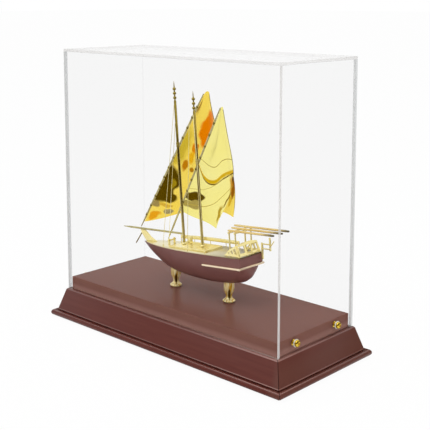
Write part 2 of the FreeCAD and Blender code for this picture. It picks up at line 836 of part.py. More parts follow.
# Gallows carrying three spare spars over the stern, and the bracket on the starboard quarter
spar_height = s.gallows_height + s.gallows_radius + s.spar_radius
for label, x in (("gallows_fore", 58), ("gallows_aft", 67)):
    post_y = s.gallows_width * 0.43
    post_height = s.gallows_height - deck_top
    posts = [rod(s.gallows_radius * 0.9, post_height, x, side * post_y, deck_top) for side in (1, -1)]
    aboard(merge(posts + [cross_rod(s.gallows_radius, s.gallows_width, x, s.gallows_height)]), label)
spars = []
for start, end, y in ((42, 123, 13.6), (49, 124, 1), (56, 123, -12.6)):
    spars.append(rod(s.spar_radius, end - start, start, y, spar_height, (0, 1, 0), 90))
aboard(group(spars), "spare_spars")
bracket_x = hull_end - 0.6
bracket_y = taff_side - 1
bracket = merge(
    [
        box(3, 1.8, 19, bracket_x, bracket_y, -7),
        box(1.8, 1.8, 15.5, bracket_x + 13, bracket_y, 3.4),
        box(13, 1.4, 1.4, bracket_x + 1, bracket_y + 0.2, 4.6),
        box(13, 1.4, 1.4, bracket_x + 1, bracket_y + 0.2, 10),
        strut(dim(0.6), (bracket_x + 14, bracket_y + 0.9, 8), (bracket_x + 20, bracket_y + 0.9, 15.3)),
    ]
)
aboard(cut(bracket, upper_lift), "stern_bracket")


# Masts with turned finials, square to the deck
def mast(label, x, height):
    r = s.mast_radius
    f = s.finial_radius
    profile = [(0, deck_top), (r, deck_top), (r * 0.8, height - 26)]
    for k in range(3):
        middle = height - 20.6 + 5.3 * k
        profile += [(r * 0.55, middle - 1.9), (f, middle - 0.9), (f, middle + 0.9), (r * 0.55, middle + 1.9)]
    profile += [(r * 0.4, height - 5.5), (r * 0.2, height), (0, height)]
    pole = place(turned(profile), x, 0, 0)
    aboard(pole, label)
    return pole


main_pole = mast("main_mast", s.main_mast_position, s.main_mast_height)
mizzen_pole = mast("mizzen_mast", s.mizzen_mast_position, s.mizzen_mast_height)


# Yards: tapered spars beside the masts, each held by a parrel and carrying the sail's lashings
yard_y = s.mast_radius + s.parrel_wall + s.yard_radius


def yard(prefix, start, length, slope):
    x, z = start
    taper = length * 0.1
    spar = turned(
        [
            (0, 0),
            (s.yard_radius * 0.55, 0),
            (s.yard_radius, taper),
            (s.yard_radius, length - taper),
            (s.yard_radius * 0.55, length),
            (0, length),
        ]
    )
    aboard(place(spar, x, yard_y, z, (0, 1, 0), slope), f"{prefix}_yard")


def lashings(prefix, start, slope, stops):
    x, z = start
    rings = []
    for along in stops:
        low = along - s.lashing_length / 2
        high = along + s.lashing_length / 2
        outer = s.yard_radius + s.lashing_wall
        ring = turned([(s.yard_radius, low), (outer, low), (outer, high), (s.yard_radius, high)])
        rings.append(place(ring, x, yard_y, z, (0, 1, 0), slope))
    aboard(group(rings), f"{prefix}_lashings")


main_foot = (-107.7, 17.2)
mizzen_foot = (-59.4, 6.0)
yard("main", main_foot, s.main_yard_length, s.main_yard_slope)
yard("mizzen", mizzen_foot, s.mizzen_yard_length, s.mizzen_yard_slope)
main_stops = [s.main_yard_length * (0.0995 + 0.0735 * k) for k in range(12)]
lashings("main", main_foot, s.main_yard_slope, main_stops)
mizzen_stops = [s.mizzen_yard_length * (0.30 + 0.084 * k) for k in range(8)]
lashings("mizzen", mizzen_foot, s.mizzen_yard_slope, mizzen_stops)

parrels = []
for pole, spot, foot_point, slope in (
    (main_pole, s.main_mast_position, main_foot, s.main_yard_slope),
    (mizzen_pole, s.mizzen_mast_position, mizzen_foot, s.mizzen_yard_slope),
):
    middle = foot_point[1] + (spot - foot_point[0]) / trig("tan", slope)
    sleeve = rod(s.mast_radius + s.parrel_wall, s.parrel_height, spot, 0, middle - s.parrel_height / 2)
    parrels.append(cut(sleeve, pole))
aboard(group(parrels), "parrels")


# Sails: thin sheets stretched from the lashings, bellied away to starboard
def along_yard(start, slope, distance):
    """A point beside the yard where the sail's edge lies, as x and z."""
    a = math.radians(slope.number)
    off = s.yard_radius.number + s.lashing_wall.number
    x = start[0] + distance * math.sin(a) + off * math.cos(a)
    z = start[1] + distance * math.cos(a) - off * math.sin(a)
    return x, z


def sample(poles, share):
    """A point on the smooth curve that the given poles draw."""
    curve = Part.BSplineCurve()
    curve.buildFromPoles([Vector(*pole) for pole in poles], False, min(3, len(poles) - 1))
    return curve.value(share)


def clamped(count):
    """Knot multiplicities of a cubic that starts and ends on its outer poles."""
    return [4] + [1] * (count - 4) + [4]


def sail(label, luff, head, leech, foot, belly, rows=9, columns=6):
    """A patch between its four edges: luff and leech run down from the head, head and foot aft."""
    grid = []
    for i in range(rows):
        v = i / (rows - 1)
        line = []
        for j in range(columns):
            u = j / (columns - 1)
            sides = sample(luff, v) * (1 - u) + sample(leech, v) * u
            ends = sample(head, u) * (1 - v) + sample(foot, u) * v
            corners = (Vector(*luff[0]) * (1 - u) + Vector(*leech[0]) * u) * (1 - v)
            corners += (Vector(*luff[-1]) * (1 - u) + Vector(*leech[-1]) * u) * v
            point = sides + ends - corners
            point.y += belly.number * math.sin(math.pi * u) * math.sin(math.pi * v) - s.sail_gauge.number / 2
            line.append(point)
        grid.append(line)
    surface = Part.BSplineSurface()
    holds = [clamped(rows), clamped(columns)]
    knots = [list(range(len(hold))) for hold in holds]
    surface.buildFromPolesMultsKnots(grid, *holds, *knots, False, False, 3, 3)
    aboard(formed(surface.toShape().extrude(Vector(0, s.sail_gauge.number, 0))), label)


def luff_line(start, slope, high, low):
    points = []
    for distance in (high, low):
        x, z = along_yard(start, slope, distance.number)
        points.append((x, yard_y.number, z))
    return points


main_luff = luff_line(main_foot, s.main_yard_slope, 0.968 * s.main_yard_length, 0.045 * s.main_yard_length)
main_leech = [
    (23.6, 4.2, 184.8),
    (22.6, 6.6, 168.4),
    (24.4, 12.2, 135.2),
    (47.8, 16.3, 89.5),
    (44.7, 14.6, 55.2),
    (41.5, 13.0, 39.1),
]
main_head = [main_luff[0], (19.0, 3.8, 189.5), main_leech[0]]
main_bottom = [
    main_luff[-1],
    (-77.8, 5.7, 27.5),
    (-48.9, 12.0, 37.0),
    (-4.1, 15.1, 45.4),
    (27.6, 13.6, 45.7),
    main_leech[-1],
]
sail("main_sail", main_luff, main_head, main_leech, main_bottom, s.main_sail_belly)

mizzen_span = s.mizzen_yard_length
mizzen_luff = luff_line(mizzen_foot, s.mizzen_yard_slope, 0.985 * mizzen_span, 0.238 * mizzen_span)
mizzen_leech = [
    (44.5, 3.5, 167.0),
    (45.4, 4.3, 154.7),
    (47.0, 6.0, 130.3),
    (54.9, 7.5, 91.9),
    (41.1, 7.6, 55.7),
    (23.5, 6.9, 37.0),
    (19.0, 6.8, 25.0),
]
mizzen_head = [mizzen_luff[0], (42.6, 3.6, 170.5), mizzen_leech[0]]
mizzen_bottom = [mizzen_luff[-1], (-15.8, 6.1, 32.6), (3.6, 6.9, 34.6), mizzen_leech[-1]]
sail("mizzen_sail", mizzen_luff, mizzen_head, mizzen_leech, mizzen_bottom, s.mizzen_sail_belly)

# Rigging wires on the port side: two from the main mast, one from the main yard, one from the mizzen mast
side_gap = -(s.mast_radius + s.wire_radius)
pin_top = deck_top + deadeye_height + 0.08
vang_x, vang_z = along_yard(main_foot, s.main_yard_slope, 166)
vang = (vang_x - 1.5, yard_y - s.yard_radius - 0.5, vang_z + 1.1)
wires = [
    strut(s.wire_radius, (s.main_mast_position, side_gap, 171), (-50, 2.6 - breadth(-50), pin_top)),
    strut(s.wire_radius, (s.main_mast_position, side_gap, 150), (bitt_x + 1, -4.5, deck_top + 7.6)),
    strut(s.wire_radius, vang, (-4, 2.6 - breadth(-4), pin_top)),
    strut(s.wire_radius, (s.mizzen_mast_position, side_gap, 160), (24, 2.6 - breadth(24), pin_top)),
]
aboard(group(wires), "rigging_wires")

doc.recompute()
os.makedirs("parts", exist_ok=True)
for item in doc.Objects:
    if "Invalid" in item.State or "Error" in item.State:
        raise RuntimeError(f"{item.Label} ({item.TypeId}) did not compute")
for item in nodes:
    if item.Shape.isNull() or not item.Shape.isValid():
        raise RuntimeError(f"{item.Label} has no valid shape")
    item.Shape.exportStep(f"parts/{item.Label}.step")
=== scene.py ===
import math

import bmesh
import bpy
from mathutils import Matrix, Vector


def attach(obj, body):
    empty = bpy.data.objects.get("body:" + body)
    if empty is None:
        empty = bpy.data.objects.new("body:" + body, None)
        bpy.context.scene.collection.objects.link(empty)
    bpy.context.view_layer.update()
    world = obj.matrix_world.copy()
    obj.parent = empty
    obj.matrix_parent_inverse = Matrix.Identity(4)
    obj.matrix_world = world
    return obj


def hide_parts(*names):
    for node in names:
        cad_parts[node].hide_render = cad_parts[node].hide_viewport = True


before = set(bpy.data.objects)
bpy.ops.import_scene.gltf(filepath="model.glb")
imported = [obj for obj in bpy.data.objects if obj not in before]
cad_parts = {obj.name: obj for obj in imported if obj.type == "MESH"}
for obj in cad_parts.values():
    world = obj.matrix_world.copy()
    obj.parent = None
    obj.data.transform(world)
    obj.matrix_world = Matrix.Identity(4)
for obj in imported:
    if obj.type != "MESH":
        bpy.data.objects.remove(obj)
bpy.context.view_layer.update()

# Base mouldings: four lengths of machined hardwood, mitred and glued into a frame round the plinth.
# Each has a sloping face, a quirk and a rounded bead, and is sprayed with red-brown lacquer.
# The mitres stay visible as fine dark lines at the corners.
MM = 0.001
HALF_LENGTH = 170
HALF_WIDTH = 66
LEDGE = 36.2
MITRE_GAP = 0.35
MITRE_WASTE = 20
BEAD_RADIUS = 3.7
BEAD_OUT = 12.7
BEAD_UP = 5.3
QUIRK = 8.9
bead_turns = [math.radians(10 * step - 40) for step in range(23)]
moulding_profile = [
    (-3.5, LEDGE),
    (1.0, LEDGE),
    (2.3, LEDGE - 1.1),
    (9.7, 10.7),
    (10.4, 10.0),
    (10.4, 9.5),
    (QUIRK, 9.2),
    (QUIRK, 7.9),
    *[(BEAD_OUT + BEAD_RADIUS * math.sin(a), BEAD_UP + BEAD_RADIUS * math.cos(a)) for a in bead_turns],
    (-9.5, 1.5),
    (-9.5, 31.7),
    (-3.5, 31.7),
]


def linear(code):
    """Turn an sRGB hex colour into linear RGBA."""
    shares = [int(code[i : i + 2], 16) / 255 for i in (1, 3, 5)]
    return [c / 12.92 if c <= 0.04045 else ((c + 0.055) / 1.055) ** 2.4 for c in shares] + [1.0]


def new_material(name):
    made = bpy.data.materials.new(name)
    made.use_nodes = True
    made.node_tree.nodes.clear()
    return made


def add(owner, kind, inputs=None, **settings):
    """Add one node to a material or world; an input is a constant or another node's socket."""
    made = owner.node_tree.nodes.new(kind)
    for name, value in settings.items():
        setattr(made, name, value)
    for name, value in (inputs or {}).items():
        if isinstance(value, bpy.types.NodeSocket):
            owner.node_tree.links.new(value, made.inputs[name])
        else:
            made.inputs[name].default_value = value
    return made


WELD = 0.002
ARRIS_ANGLE = 38


def start_piece(name, first):
    """Begin a piece in edit mode as a single vertex, ready to be extruded."""
    bpy.ops.object.select_all(action="DESELECT")
    bpy.ops.mesh.primitive_plane_add(size=MM)
    piece = bpy.context.object
    piece.name = name
    bpy.ops.object.mode_set(mode="EDIT")
    bpy.ops.mesh.merge(type="CENTER")
    bpy.ops.transform.translate(value=Vector(first) * MM)
    return piece


def draw_on(points):
    """Extrude the last vertex from point to point, given in millimetres."""
    for here, there in zip(points, points[1:]):
        step = (Vector(there) - Vector(here)) * MM
        bpy.ops.mesh.extrude_region_move(TRANSFORM_OT_translate={"value": step})


def finish_piece(piece, material, matrix=None, arris=None, smooth=35):
    """Leave edit mode, put the piece in its place, round its arrises and give it its finish."""
    bpy.ops.mesh.select_all(action="SELECT")
    bpy.ops.mesh.remove_doubles(threshold=WELD * MM)
    bpy.ops.mesh.normals_make_consistent(inside=False)
    bpy.ops.object.mode_set(mode="OBJECT")
    if matrix is not None:
        piece.matrix_world = matrix
        bpy.ops.object.transform_apply(location=True, rotation=True, scale=True)
    if arris:
        bevel = piece.modifiers.new("arris", "BEVEL")
        bevel.width = arris * MM
        bevel.segments = 2
        bevel.limit_method = "ANGLE"
        bevel.angle_limit = math.radians(ARRIS_ANGLE)
        bpy.ops.object.modifier_apply(modifier=bevel.name)
    bpy.ops.object.shade_smooth_by_angle(angle=math.radians(smooth))
    piece.data.materials.clear()
    piece.data.materials.append(material)
    return piece


def clouded(owner, spot, size, detail, dark, light):
    """Two colours that drift into each other; the drift's size is in millimetres, or one per axis."""
    sizes = size if isinstance(size, tuple) else (size, size, size)
    stretch = [1 / (each * MM) for each in sizes]
    drift = add(owner, "ShaderNodeMapping", {"Vector": spot, "Scale": stretch})
    noise = add(owner, "ShaderNodeTexNoise", {"Vector": drift.outputs[0], "Scale": 1.0, "Detail": detail})
    share = noise.outputs["Fac"]
    tone = add(owner, "ShaderNodeMix", {0: share, 6: dark, 7: light}, data_type="RGBA")
    return share, tone.outputs[2]


def faded(owner, spot, axis, stops, colour, far, most=1.0):
    """One colour that goes over into another along an axis, between two places in millimetres."""
    place = add(owner, "ShaderNodeSeparateXYZ", {0: spot})
    limits = {"From Min": stops[0] * MM, "From Max": stops[1] * MM, "To Max": most}
    share = add(owner, "ShaderNodeMapRange", {"Value": place.outputs[axis], **limits}).outputs[0]
    tone = add(owner, "ShaderNodeMix", {0: share, 6: colour, 7: far}, data_type="RGBA")
    return share, tone.outputs[2]


def lay_finish(owner, inputs):
    """Give a material the one surface that these values describe."""
    skin = add(owner, "ShaderNodeBsdfPrincipled", inputs)
    add(owner, "ShaderNodeOutputMaterial", {"Surface": skin.outputs[0]})


moulding_lacquer = new_material("sprayed_red_brown_lacquer")
# Half-gloss lacquer over filled hardwood: faint long grain under an even, slightly soft shine.
# The grain is 4 mm wide, coarser than real pores, so that it shows; the shine varies every 110 mm
spot = add(moulding_lacquer, "ShaderNodeTexCoord").outputs["Object"]
_, tone = clouded(moulding_lacquer, spot, (71.43, 71.43, 3.846), 5, linear("#501e18"), linear("#6a352c"))
_, tone = faded(moulding_lacquer, spot, 0, (168, 176), tone, linear("#633930"))
cloud = add(
    moulding_lacquer,
    "ShaderNodeTexNoise",
    {"Vector": spot, "Scale": 1 / (111.1 * MM), "Detail": 2.0},
)
sheen = add(
    moulding_lacquer,
    "ShaderNodeMapRange",
    {"Value": cloud.outputs["Fac"], "To Min": 0.3, "To Max": 0.42},
)
lay_finish(
    moulding_lacquer,
    {
        "Base Color": tone,
        "Roughness": sheen.outputs[0],
        "IOR": 1.5,
        "Specular IOR Level": 0.13,
        "Coat Weight": 0.04,
        "Coat Roughness": 0.12,
    },
)

lacquer_painted_highlight = new_material("lacquer_painted_highlight_arris")
# Painted highlight on the ledge, the facet at the slope's foot and the top of the bead: a paler brown
# that also lifts the ledge's shade, in patches 40 mm long, palest within 120 mm of the front right-hand
# corner, a painted glow of light led along the cover's foot
spot = add(lacquer_painted_highlight, "ShaderNodeTexCoord").outputs["Object"]
corner = (HALF_LENGTH * MM, -HALF_WIDTH * MM, LEDGE * MM)
away = add(lacquer_painted_highlight, "ShaderNodeVectorMath", {0: spot, 1: corner}, operation="DISTANCE")
near = add(
    lacquer_painted_highlight,
    "ShaderNodeMapRange",
    {"Value": away.outputs["Value"], "From Max": 120 * MM, "To Min": 1.0, "To Max": 0.0},
)
thin = add(
    lacquer_painted_highlight,
    "ShaderNodeMix",
    {0: near.outputs[0], 6: linear("#6c3f38"), 7: linear("#a87c72")},
    data_type="RGBA",
)
_, tone = clouded(lacquer_painted_highlight, spot, 40, 3, linear("#70433b"), thin.outputs[2])
lay_finish(lacquer_painted_highlight, {"Base Color": tone, "Roughness": 0.3})

quirk_painted_light = new_material("quirk_painted_lighter")
# Painted light in the groove: a lighter, redder brown than the lacquer, in clouds 17 mm long, with a dull
# shine, to lift the groove's own shade
spot = add(quirk_painted_light, "ShaderNodeTexCoord").outputs["Object"]
_, tone = clouded(quirk_painted_light, spot, 16.67, 2, linear("#6c2f22"), linear("#7c3b2c"))
lay_finish(quirk_painted_light, {"Base Color": tone, "Roughness": 0.45})

mouldings = (
    ("front", HALF_WIDTH, HALF_LENGTH, 0),
    ("right", HALF_LENGTH, HALF_WIDTH, 90),
    ("rear", HALF_WIDTH, HALF_LENGTH, 180),
    ("left", HALF_LENGTH, HALF_WIDTH, 270),
)
for side, depth, half, turn in mouldings:
    end = half + MITRE_WASTE
    corners = [(-end, -(depth + out), up) for out, up in moulding_profile]
    piece = start_piece(f"moulding_{side}_length", corners[0])
    draw_on(corners)
    bpy.ops.mesh.select_all(action="SELECT")
    bpy.ops.mesh.edge_face_add()
    bpy.ops.mesh.extrude_region_move(TRANSFORM_OT_translate={"value": (2 * end * MM, 0, 0)})
    for way in (1, -1):
        bpy.ops.mesh.select_all(action="SELECT")
        bpy.ops.mesh.bisect(
            plane_co=(way * (half - MITRE_GAP) * MM, -depth * MM, 0),
            plane_no=(way, 1, 0),
            use_fill=True,
            clear_outer=True,
        )
    finish_piece(piece, moulding_lacquer, Matrix.Rotation(math.radians(turn), 4, "Z"), arris=0.35)
    piece.data.materials.append(lacquer_painted_highlight)
    piece.data.materials.append(quirk_painted_light)
    outward = Vector((math.sin(math.radians(turn)), -math.cos(math.radians(turn)), 0))
    # Ledge, foot facet and bead top take the painted highlight; the quirk takes its painted light
    for face in piece.data.polygons:
        out = face.center.dot(outward) / MM - depth
        up = face.center.z / MM
        on_ledge = up > LEDGE - 1.2 and face.normal.z > 0.5
        on_foot = 9.4 < up < 11 and 0.5 < face.normal.z < 0.95
        on_bead = out > BEAD_OUT and 0.8 < face.normal.z < 0.96
        if on_ledge or on_foot or on_bead:
            face.material_index = 1
        elif 7.6 < up < 9.4 and 0 < out < QUIRK + 0.9:
            face.material_index = 2
    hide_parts(f"moulding_{side}")
    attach(piece, "base")

# Under the base: glue blocks in the corners, a hardboard panel screwed up into them, felt feet.
# None of it shows when the case stands on a table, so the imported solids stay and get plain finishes.
# The blocks are raw pine, the panel is pressed hardboard, the screws and bolts are zinc plated.


def dress(material, *names):
    """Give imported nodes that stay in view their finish."""
    for name in names:
        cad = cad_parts[name]
        cad.data.materials.clear()
        cad.data.materials.append(material)


raw_wood = new_material("raw_pine_and_hardboard")
# Dry sawn wood: matt, with long pale and brown fibres, 6 mm wide, that stand up a little
spot = add(raw_wood, "ShaderNodeTexCoord").outputs["Object"]
grain, tone = clouded(raw_wood, spot, (83.33, 6.25, 6.25), 6, linear("#6e5138"), linear("#a98760"))
fibre = add(raw_wood, "ShaderNodeBump", {"Height": grain, "Strength": 0.3, "Distance": 0.4 * MM})
lay_finish(raw_wood, {"Base Color": tone, "Roughness": 0.75, "Normal": fibre.outputs[0]})
dress(raw_wood, "corner_blocks", "bottom_panel")

zinc = new_material("zinc_plated_steel")
# Barrel-plated screws: a cool grey metal with a soft shine, cloudy every millimetre or two
spot = add(zinc, "ShaderNodeTexCoord").outputs["Object"]
_, tone = clouded(zinc, spot, 1.429, 3, linear("#9a9c9e"), linear("#c4c6c8"))
lay_finish(zinc, {"Base Color": tone, "Metallic": 1.0, "Roughness": 0.35})
dress(zinc, "bottom_panel_screws", "pillar_bolts")

felt = new_material("pressed_wool_felt")
# Dark felt: no shine at all, a fuzzy surface in tufts of 1 mm that goes a little pale at its outline
spot = add(felt, "ShaderNodeTexCoord").outputs["Object"]
fuzz, tone = clouded(felt, spot, 1.111, 4, linear("#1c1513"), linear("#3a2c28"))
nap = add(felt, "ShaderNodeBump", {"Height": fuzz, "Strength": 0.6, "Distance": 0.5 * MM})
lay_finish(felt, {"Base Color": tone, "Roughness": 0.95, "Sheen Weight": 0.3, "Normal": nap.outputs[0]})
dress(felt, "felt_feet")

# Plinth board: a thick board let into the mouldings, sprayed brown and rubbed to a soft gloss.
# Its top mirrors the pillars as blurred golden streaks.
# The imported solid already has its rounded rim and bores, so only the finish is made here.
board_lacquer = new_material("polished_brown_lacquer")
# Brown lacquer: even colour, clouded very slightly over 170 mm, with a blurred reflection;
# its sides are painted paler towards the ledge, painted light that lifts the shade there
spot = add(board_lacquer, "ShaderNodeTexCoord").outputs["Object"]
cloud, brown = clouded(board_lacquer, spot, 166.7, 2, linear("#7d534a"), linear("#845b50"))
_, tone = faded(board_lacquer, spot, 2, (44, LEDGE), brown, linear("#b68d82"), most=0.7)
sheen = add(board_lacquer, "ShaderNodeMapRange", {"Value": cloud, "To Min": 0.2, "To Max": 0.28})
lay_finish(
    board_lacquer,
    {"Base Color": tone, "Roughness": sheen.outputs[0], "IOR": 1.5, "Specular IOR Level": 0.035},
)
dress(board_lacquer, "plinth_board")

# Threaded inserts: knurled brass bushes pressed into the ends of the board for the cover screws.
# Only their end faces show, inside the slots of the cover.
brass = new_material("polished_brass")
# Turned brass: a warm yellow metal, bright, with tool marks drawn 3 mm wide so that they show
spot = add(brass, "ShaderNodeTexCoord").outputs["Object"]
_, tone = clouded(brass, spot, 2.857, 2, linear("#d2ae2c"), linear("#eed257"))
lay_finish(brass, {"Base Color": tone, "Metallic": 1.0, "Roughness": 0.14})
dress(brass, "screw_inserts")

# Pillars: two brass turnings, gold plated and polished, bolted up through the board.
# A ringed foot narrows to a waist and flares again to the socket that carries the hull.
BOARD_TOP = 51.7
PILLAR_SPOTS = {"pillar_fore": -43.6, "pillar_aft": 43.6}
pillar_sweep = [
    (7.0, 2.6),
    (6.2, 3.2),
    (5.0, 4.0),
    (4.1, 5.0),
    (3.6, 6.2),
    (3.5, 7.4),
    (3.9, 9.0),
    (4.7, 11.0),
    (5.5, 13.0),
    (6.0, 15.2),
    (6.2, 18.0),
    (6.2, 21.0),
]


def smooth_line(points, steps):
    """Points on a soft curve through the given ones, as a turner would sweep them."""
    padded = [points[0], *points, points[-1]]
    line = []
    for a, b, c, d in zip(padded, padded[1:], padded[2:], padded[3:]):
        a, b, c, d = Vector(a), Vector(b), Vector(c), Vector(d)
        for step in range(steps):
            t = step / steps
            pull = (2 * b - 2 * c + (c - a) / 2 + (d - b) / 2) * t**3
            bend = (3 * c - 3 * b - (c - a) - (d - b) / 2) * t**2
            line.append(pull + bend + (c - a) / 2 * t + b)
    return line + [Vector(points[-1])]


def turn_piece(name, profile, material, matrix=None, segments=32, smooth=40):
    """Turn a profile of radius and height pairs about Z and set it in place."""
    points = [(radius, 0, height) for radius, height in profile]
    piece = start_piece(name, points[0])
    draw_on(points)
    bpy.ops.mesh.select_all(action="SELECT")
    bpy.ops.mesh.spin(steps=segments, angle=2 * math.pi, center=(0, 0, 0), axis=(0, 0, 1))
    return finish_piece(piece, material, matrix, smooth=smooth)


gold = new_material("polished_gold_plate")
# Bright plating over polished brass: almost a mirror, lemon yellow, a little deeper every 17 mm
spot = add(gold, "ShaderNodeTexCoord").outputs["Object"]
bloom, tone = clouded(gold, spot, 16.67, 3, linear("#ffe680"), linear("#fffacc"))
polish = add(gold, "ShaderNodeMapRange", {"Value": bloom, "To Min": 0.06, "To Max": 0.14})
lay_finish(gold, {"Base Color": tone, "Metallic": 0.5, "Roughness": polish.outputs[0]})

def copy_piece(pattern, name, spot):
    """A copy of a finished piece, with a mesh of its own, set in its place."""
    bpy.ops.object.select_all(action="DESELECT")
    pattern.select_set(True)
    bpy.context.view_layer.objects.active = pattern
    bpy.ops.object.duplicate()
    copied = bpy.context.object
    copied.name = name
    copied.matrix_world = spot
    bpy.ops.object.transform_apply(location=True, rotation=True, scale=True)
    return copied


def soft_spot(owner, vector, centre, turn, reach, edge):
    """How far a place lies inside a soft oval, given its centre, turn and half-sizes in millimetres."""
    local = add(
        owner,
        "ShaderNodeMapping",
        {
            "Vector": vector,
            "Location": Vector(centre) * MM,
            "Rotation": [math.radians(angle) for angle in turn],
            "Scale": Vector(reach) * MM,
        },
        vector_type="TEXTURE",
    )
    blob = add(owner, "ShaderNodeTexGradient", {"Vector": local.outputs[0]}, gradient_type="SPHERICAL")
    inside = add(
        owner,
        "ShaderNodeMapRange",
        {"Value": blob.outputs["Fac"], "From Max": edge},
        interpolation_type="SMOOTHSTEP",
    )
    return inside.outputs[0]


pillar_gold = new_material("pale_gold_plate")
# Thicker, paler plating than on the small parts: creamy in the light, with drawn marks 2 mm wide
# and 11 mm long. Both pillars show one painted reflection, a dark olive streak that is more metallic, so
# the pattern repeats with their spacing
spot = add(pillar_gold, "ShaderNodeTexCoord").outputs["Object"]
place = add(pillar_gold, "ShaderNodeSeparateXYZ", {0: spot})
spacing = 2 * PILLAR_SPOTS["pillar_aft"]
shifted = add(pillar_gold, "ShaderNodeMath", {0: place.outputs[0], 1: spacing * MM}, operation="ADD")
within = add(pillar_gold, "ShaderNodeMath", {0: shifted.outputs[0], 1: spacing * MM}, operation="MODULO")
own = add(
    pillar_gold,
    "ShaderNodeCombineXYZ",
    {0: within.outputs[0], 1: place.outputs[1], 2: place.outputs[2]},
)
painted_reflection_middle = (spacing / 2 + 0.4, 0, BOARD_TOP + 10.5)
painted_reflection_streak = soft_spot(pillar_gold, own.outputs[0], painted_reflection_middle, (0, 0, 43), (2.1, 30, 8.5), 0.5)
stretch = [1 / (size * MM) for size in (2.381, 2.381, 11.11)]
drawn = add(pillar_gold, "ShaderNodeMapping", {"Vector": spot, "Scale": stretch})
marks = add(pillar_gold, "ShaderNodeTexNoise", {"Vector": drawn.outputs[0], "Scale": 1.0, "Detail": 1.0})
sharp = add(
    pillar_gold,
    "ShaderNodeMapRange",
    {"Value": marks.outputs["Fac"], "From Min": 0.36, "From Max": 0.6},
)
cream = add(
    pillar_gold,
    "ShaderNodeMix",
    {0: sharp.outputs[0], 6: linear("#d6a630"), 7: linear("#fff2b8")},
    data_type="RGBA",
)
tone = add(
    pillar_gold,
    "ShaderNodeMix",
    {0: painted_reflection_streak, 6: cream.outputs[2], 7: linear("#6e5a18")},
    data_type="RGBA",
)
metal = add(pillar_gold, "ShaderNodeMapRange", {"Value": painted_reflection_streak, "To Min": 0.15, "To Max": 0.8})
lay_finish(
    pillar_gold,
    {"Base Color": tone.outputs[2], "Metallic": metal.outputs[0], "Roughness": 0.12},
)

pillar_profile = [(0, 0), (5.4, 0), (5.4, 0.8), (6.9, 1.1), (7.3, 1.5), (7.3, 2.1)]
pillar_profile += [tuple(point) for point in smooth_line(pillar_sweep, 3)]
pillar_profile += [(6.2, 25.6), (0, 25.6)]
turned_pillar = turn_piece("turned_pillar", pillar_profile, pillar_gold, segments=48)
for name, x in PILLAR_SPOTS.items():
    seat = Matrix.Translation(Vector((x, 0, BOARD_TOP)) * MM)
    pillar = copy_piece(turned_pillar, f"{name}_turning", seat)
    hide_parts(name)
    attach(pillar, "base")
bpy.data.objects.remove(turned_pillar)

# Hull: two wooden lifts glued at the wale and carved to shape, filled and sprayed satin red-brown.
# The topsides end in a flat transom that leans a little; below the wale the stern is rounded in.
# Sections stand at stations from bow to stern, in the ship's own frame, which is pitched bow down.
HULL_LENGTH = 177
HULL_BEAM = 45.2
HULL_DEPTH = 35.3
WALE_DROP = 11.6
STERN_ROUNDING = 9
PITCH = math.radians(4.8)
aboard = Matrix.Translation((0, 0, 106.0 * MM)) @ Matrix.Rotation(-PITCH, 4, "Y")
# Place, half-breadth and depth as shares of the hull's size, then the blend of three sections
STATIONS = (
    (-0.5616, 0.0111, 0.017, 1.0, 0.0, 0.0),
    (-0.5508, 0.0354, 0.070, 1.0, 0.0, 0.0),
    (-0.5085, 0.1173, 0.255, 1.0, 0.0, 0.0),
    (-0.4407, 0.2212, 0.487, 0.8, 0.2, 0.0),
    (-0.3616, 0.3164, 0.703, 0.5, 0.5, 0.0),
    (-0.2825, 0.3850, 0.816, 0.25, 0.75, 0.0),
    (-0.1695, 0.4535, 0.895, 0.0, 1.0, 0.0),
    (-0.0282, 0.4934, 0.969, 0.0, 1.0, 0.0),
    (0.1130, 0.5000, 1.000, 0.0, 1.0, 0.0),
    (0.2373, 0.4867, 0.986, 0.0, 0.85, 0.15),
    (0.3390, 0.4668, 0.935, 0.0, 0.5, 0.5),
    (0.3955, 0.4535, 0.850, 0.0, 0.25, 0.75),
    (0.4379, 0.4425, 0.751, 0.0, 0.0, 1.0),
)
SECTIONS = (
    ((0, 1), (0.20, 0.82), (0.40, 0.62), (0.60, 0.42), (0.78, 0.23), (0.90, 0.10), (1, 0)),
    ((0, 1), (0.32, 0.965), (0.64, 0.80), (0.86, 0.54), (0.96, 0.28), (0.99, 0.12), (1, 0)),
    ((0, 1), (0.33, 0.93), (0.63, 0.79), (0.85, 0.61), (0.97, 0.43), (1.0, 0.20), (1, 0)),
)
HULL_BOW = STATIONS[0][0] * HULL_LENGTH
HULL_END = STATIONS[-1][0] * HULL_LENGTH


def station_at(x):
    """The station row at a place along the ship, eased between its neighbours."""
    share = x / HULL_LENGTH
    last = len(STATIONS) - 1
    i = next((k for k in range(last) if share <= STATIONS[k + 1][0]), last - 1)
    a, b, c, d = (STATIONS[min(max(k, 0), last)] for k in (i - 1, i, i + 1, i + 2))
    gap = c[0] - b[0]
    t = min(1.0, (share - b[0]) / gap)
    row = []
    for k in range(len(b)):
        leave = (c[k] - a[k]) / max(c[0] - a[0], 1e-6) * gap
        reach = (d[k] - b[k]) / max(d[0] - b[0], 1e-6) * gap
        eased = (2 * t**3 - 3 * t**2 + 1) * b[k] + (t**3 - 2 * t**2 + t) * leave
        row.append(eased + (3 * t**2 - 2 * t**3) * c[k] + (t**3 - t**2) * reach)
    return row


def breadth(x):
    """Half-breadth of the deck edge."""
    return station_at(x)[1] * HULL_BEAM


def level_points(line, low, high, count, crowd):
    """Points of a rising line between two levels, crowded towards the lower one."""
    levels = [p.y for p in line]
    kept = []
    for k in range(count):
        level = low + (high - low) * (k / (count - 1)) ** crowd
        i = max(j for j in range(len(levels) - 1) if j == 0 or levels[j] <= level)
        t = min(1.0, max(0.0, (level - levels[i]) / max(levels[i + 1] - levels[i], 1e-9)))
        kept.append(line[i].lerp(line[i + 1], t))
    return kept


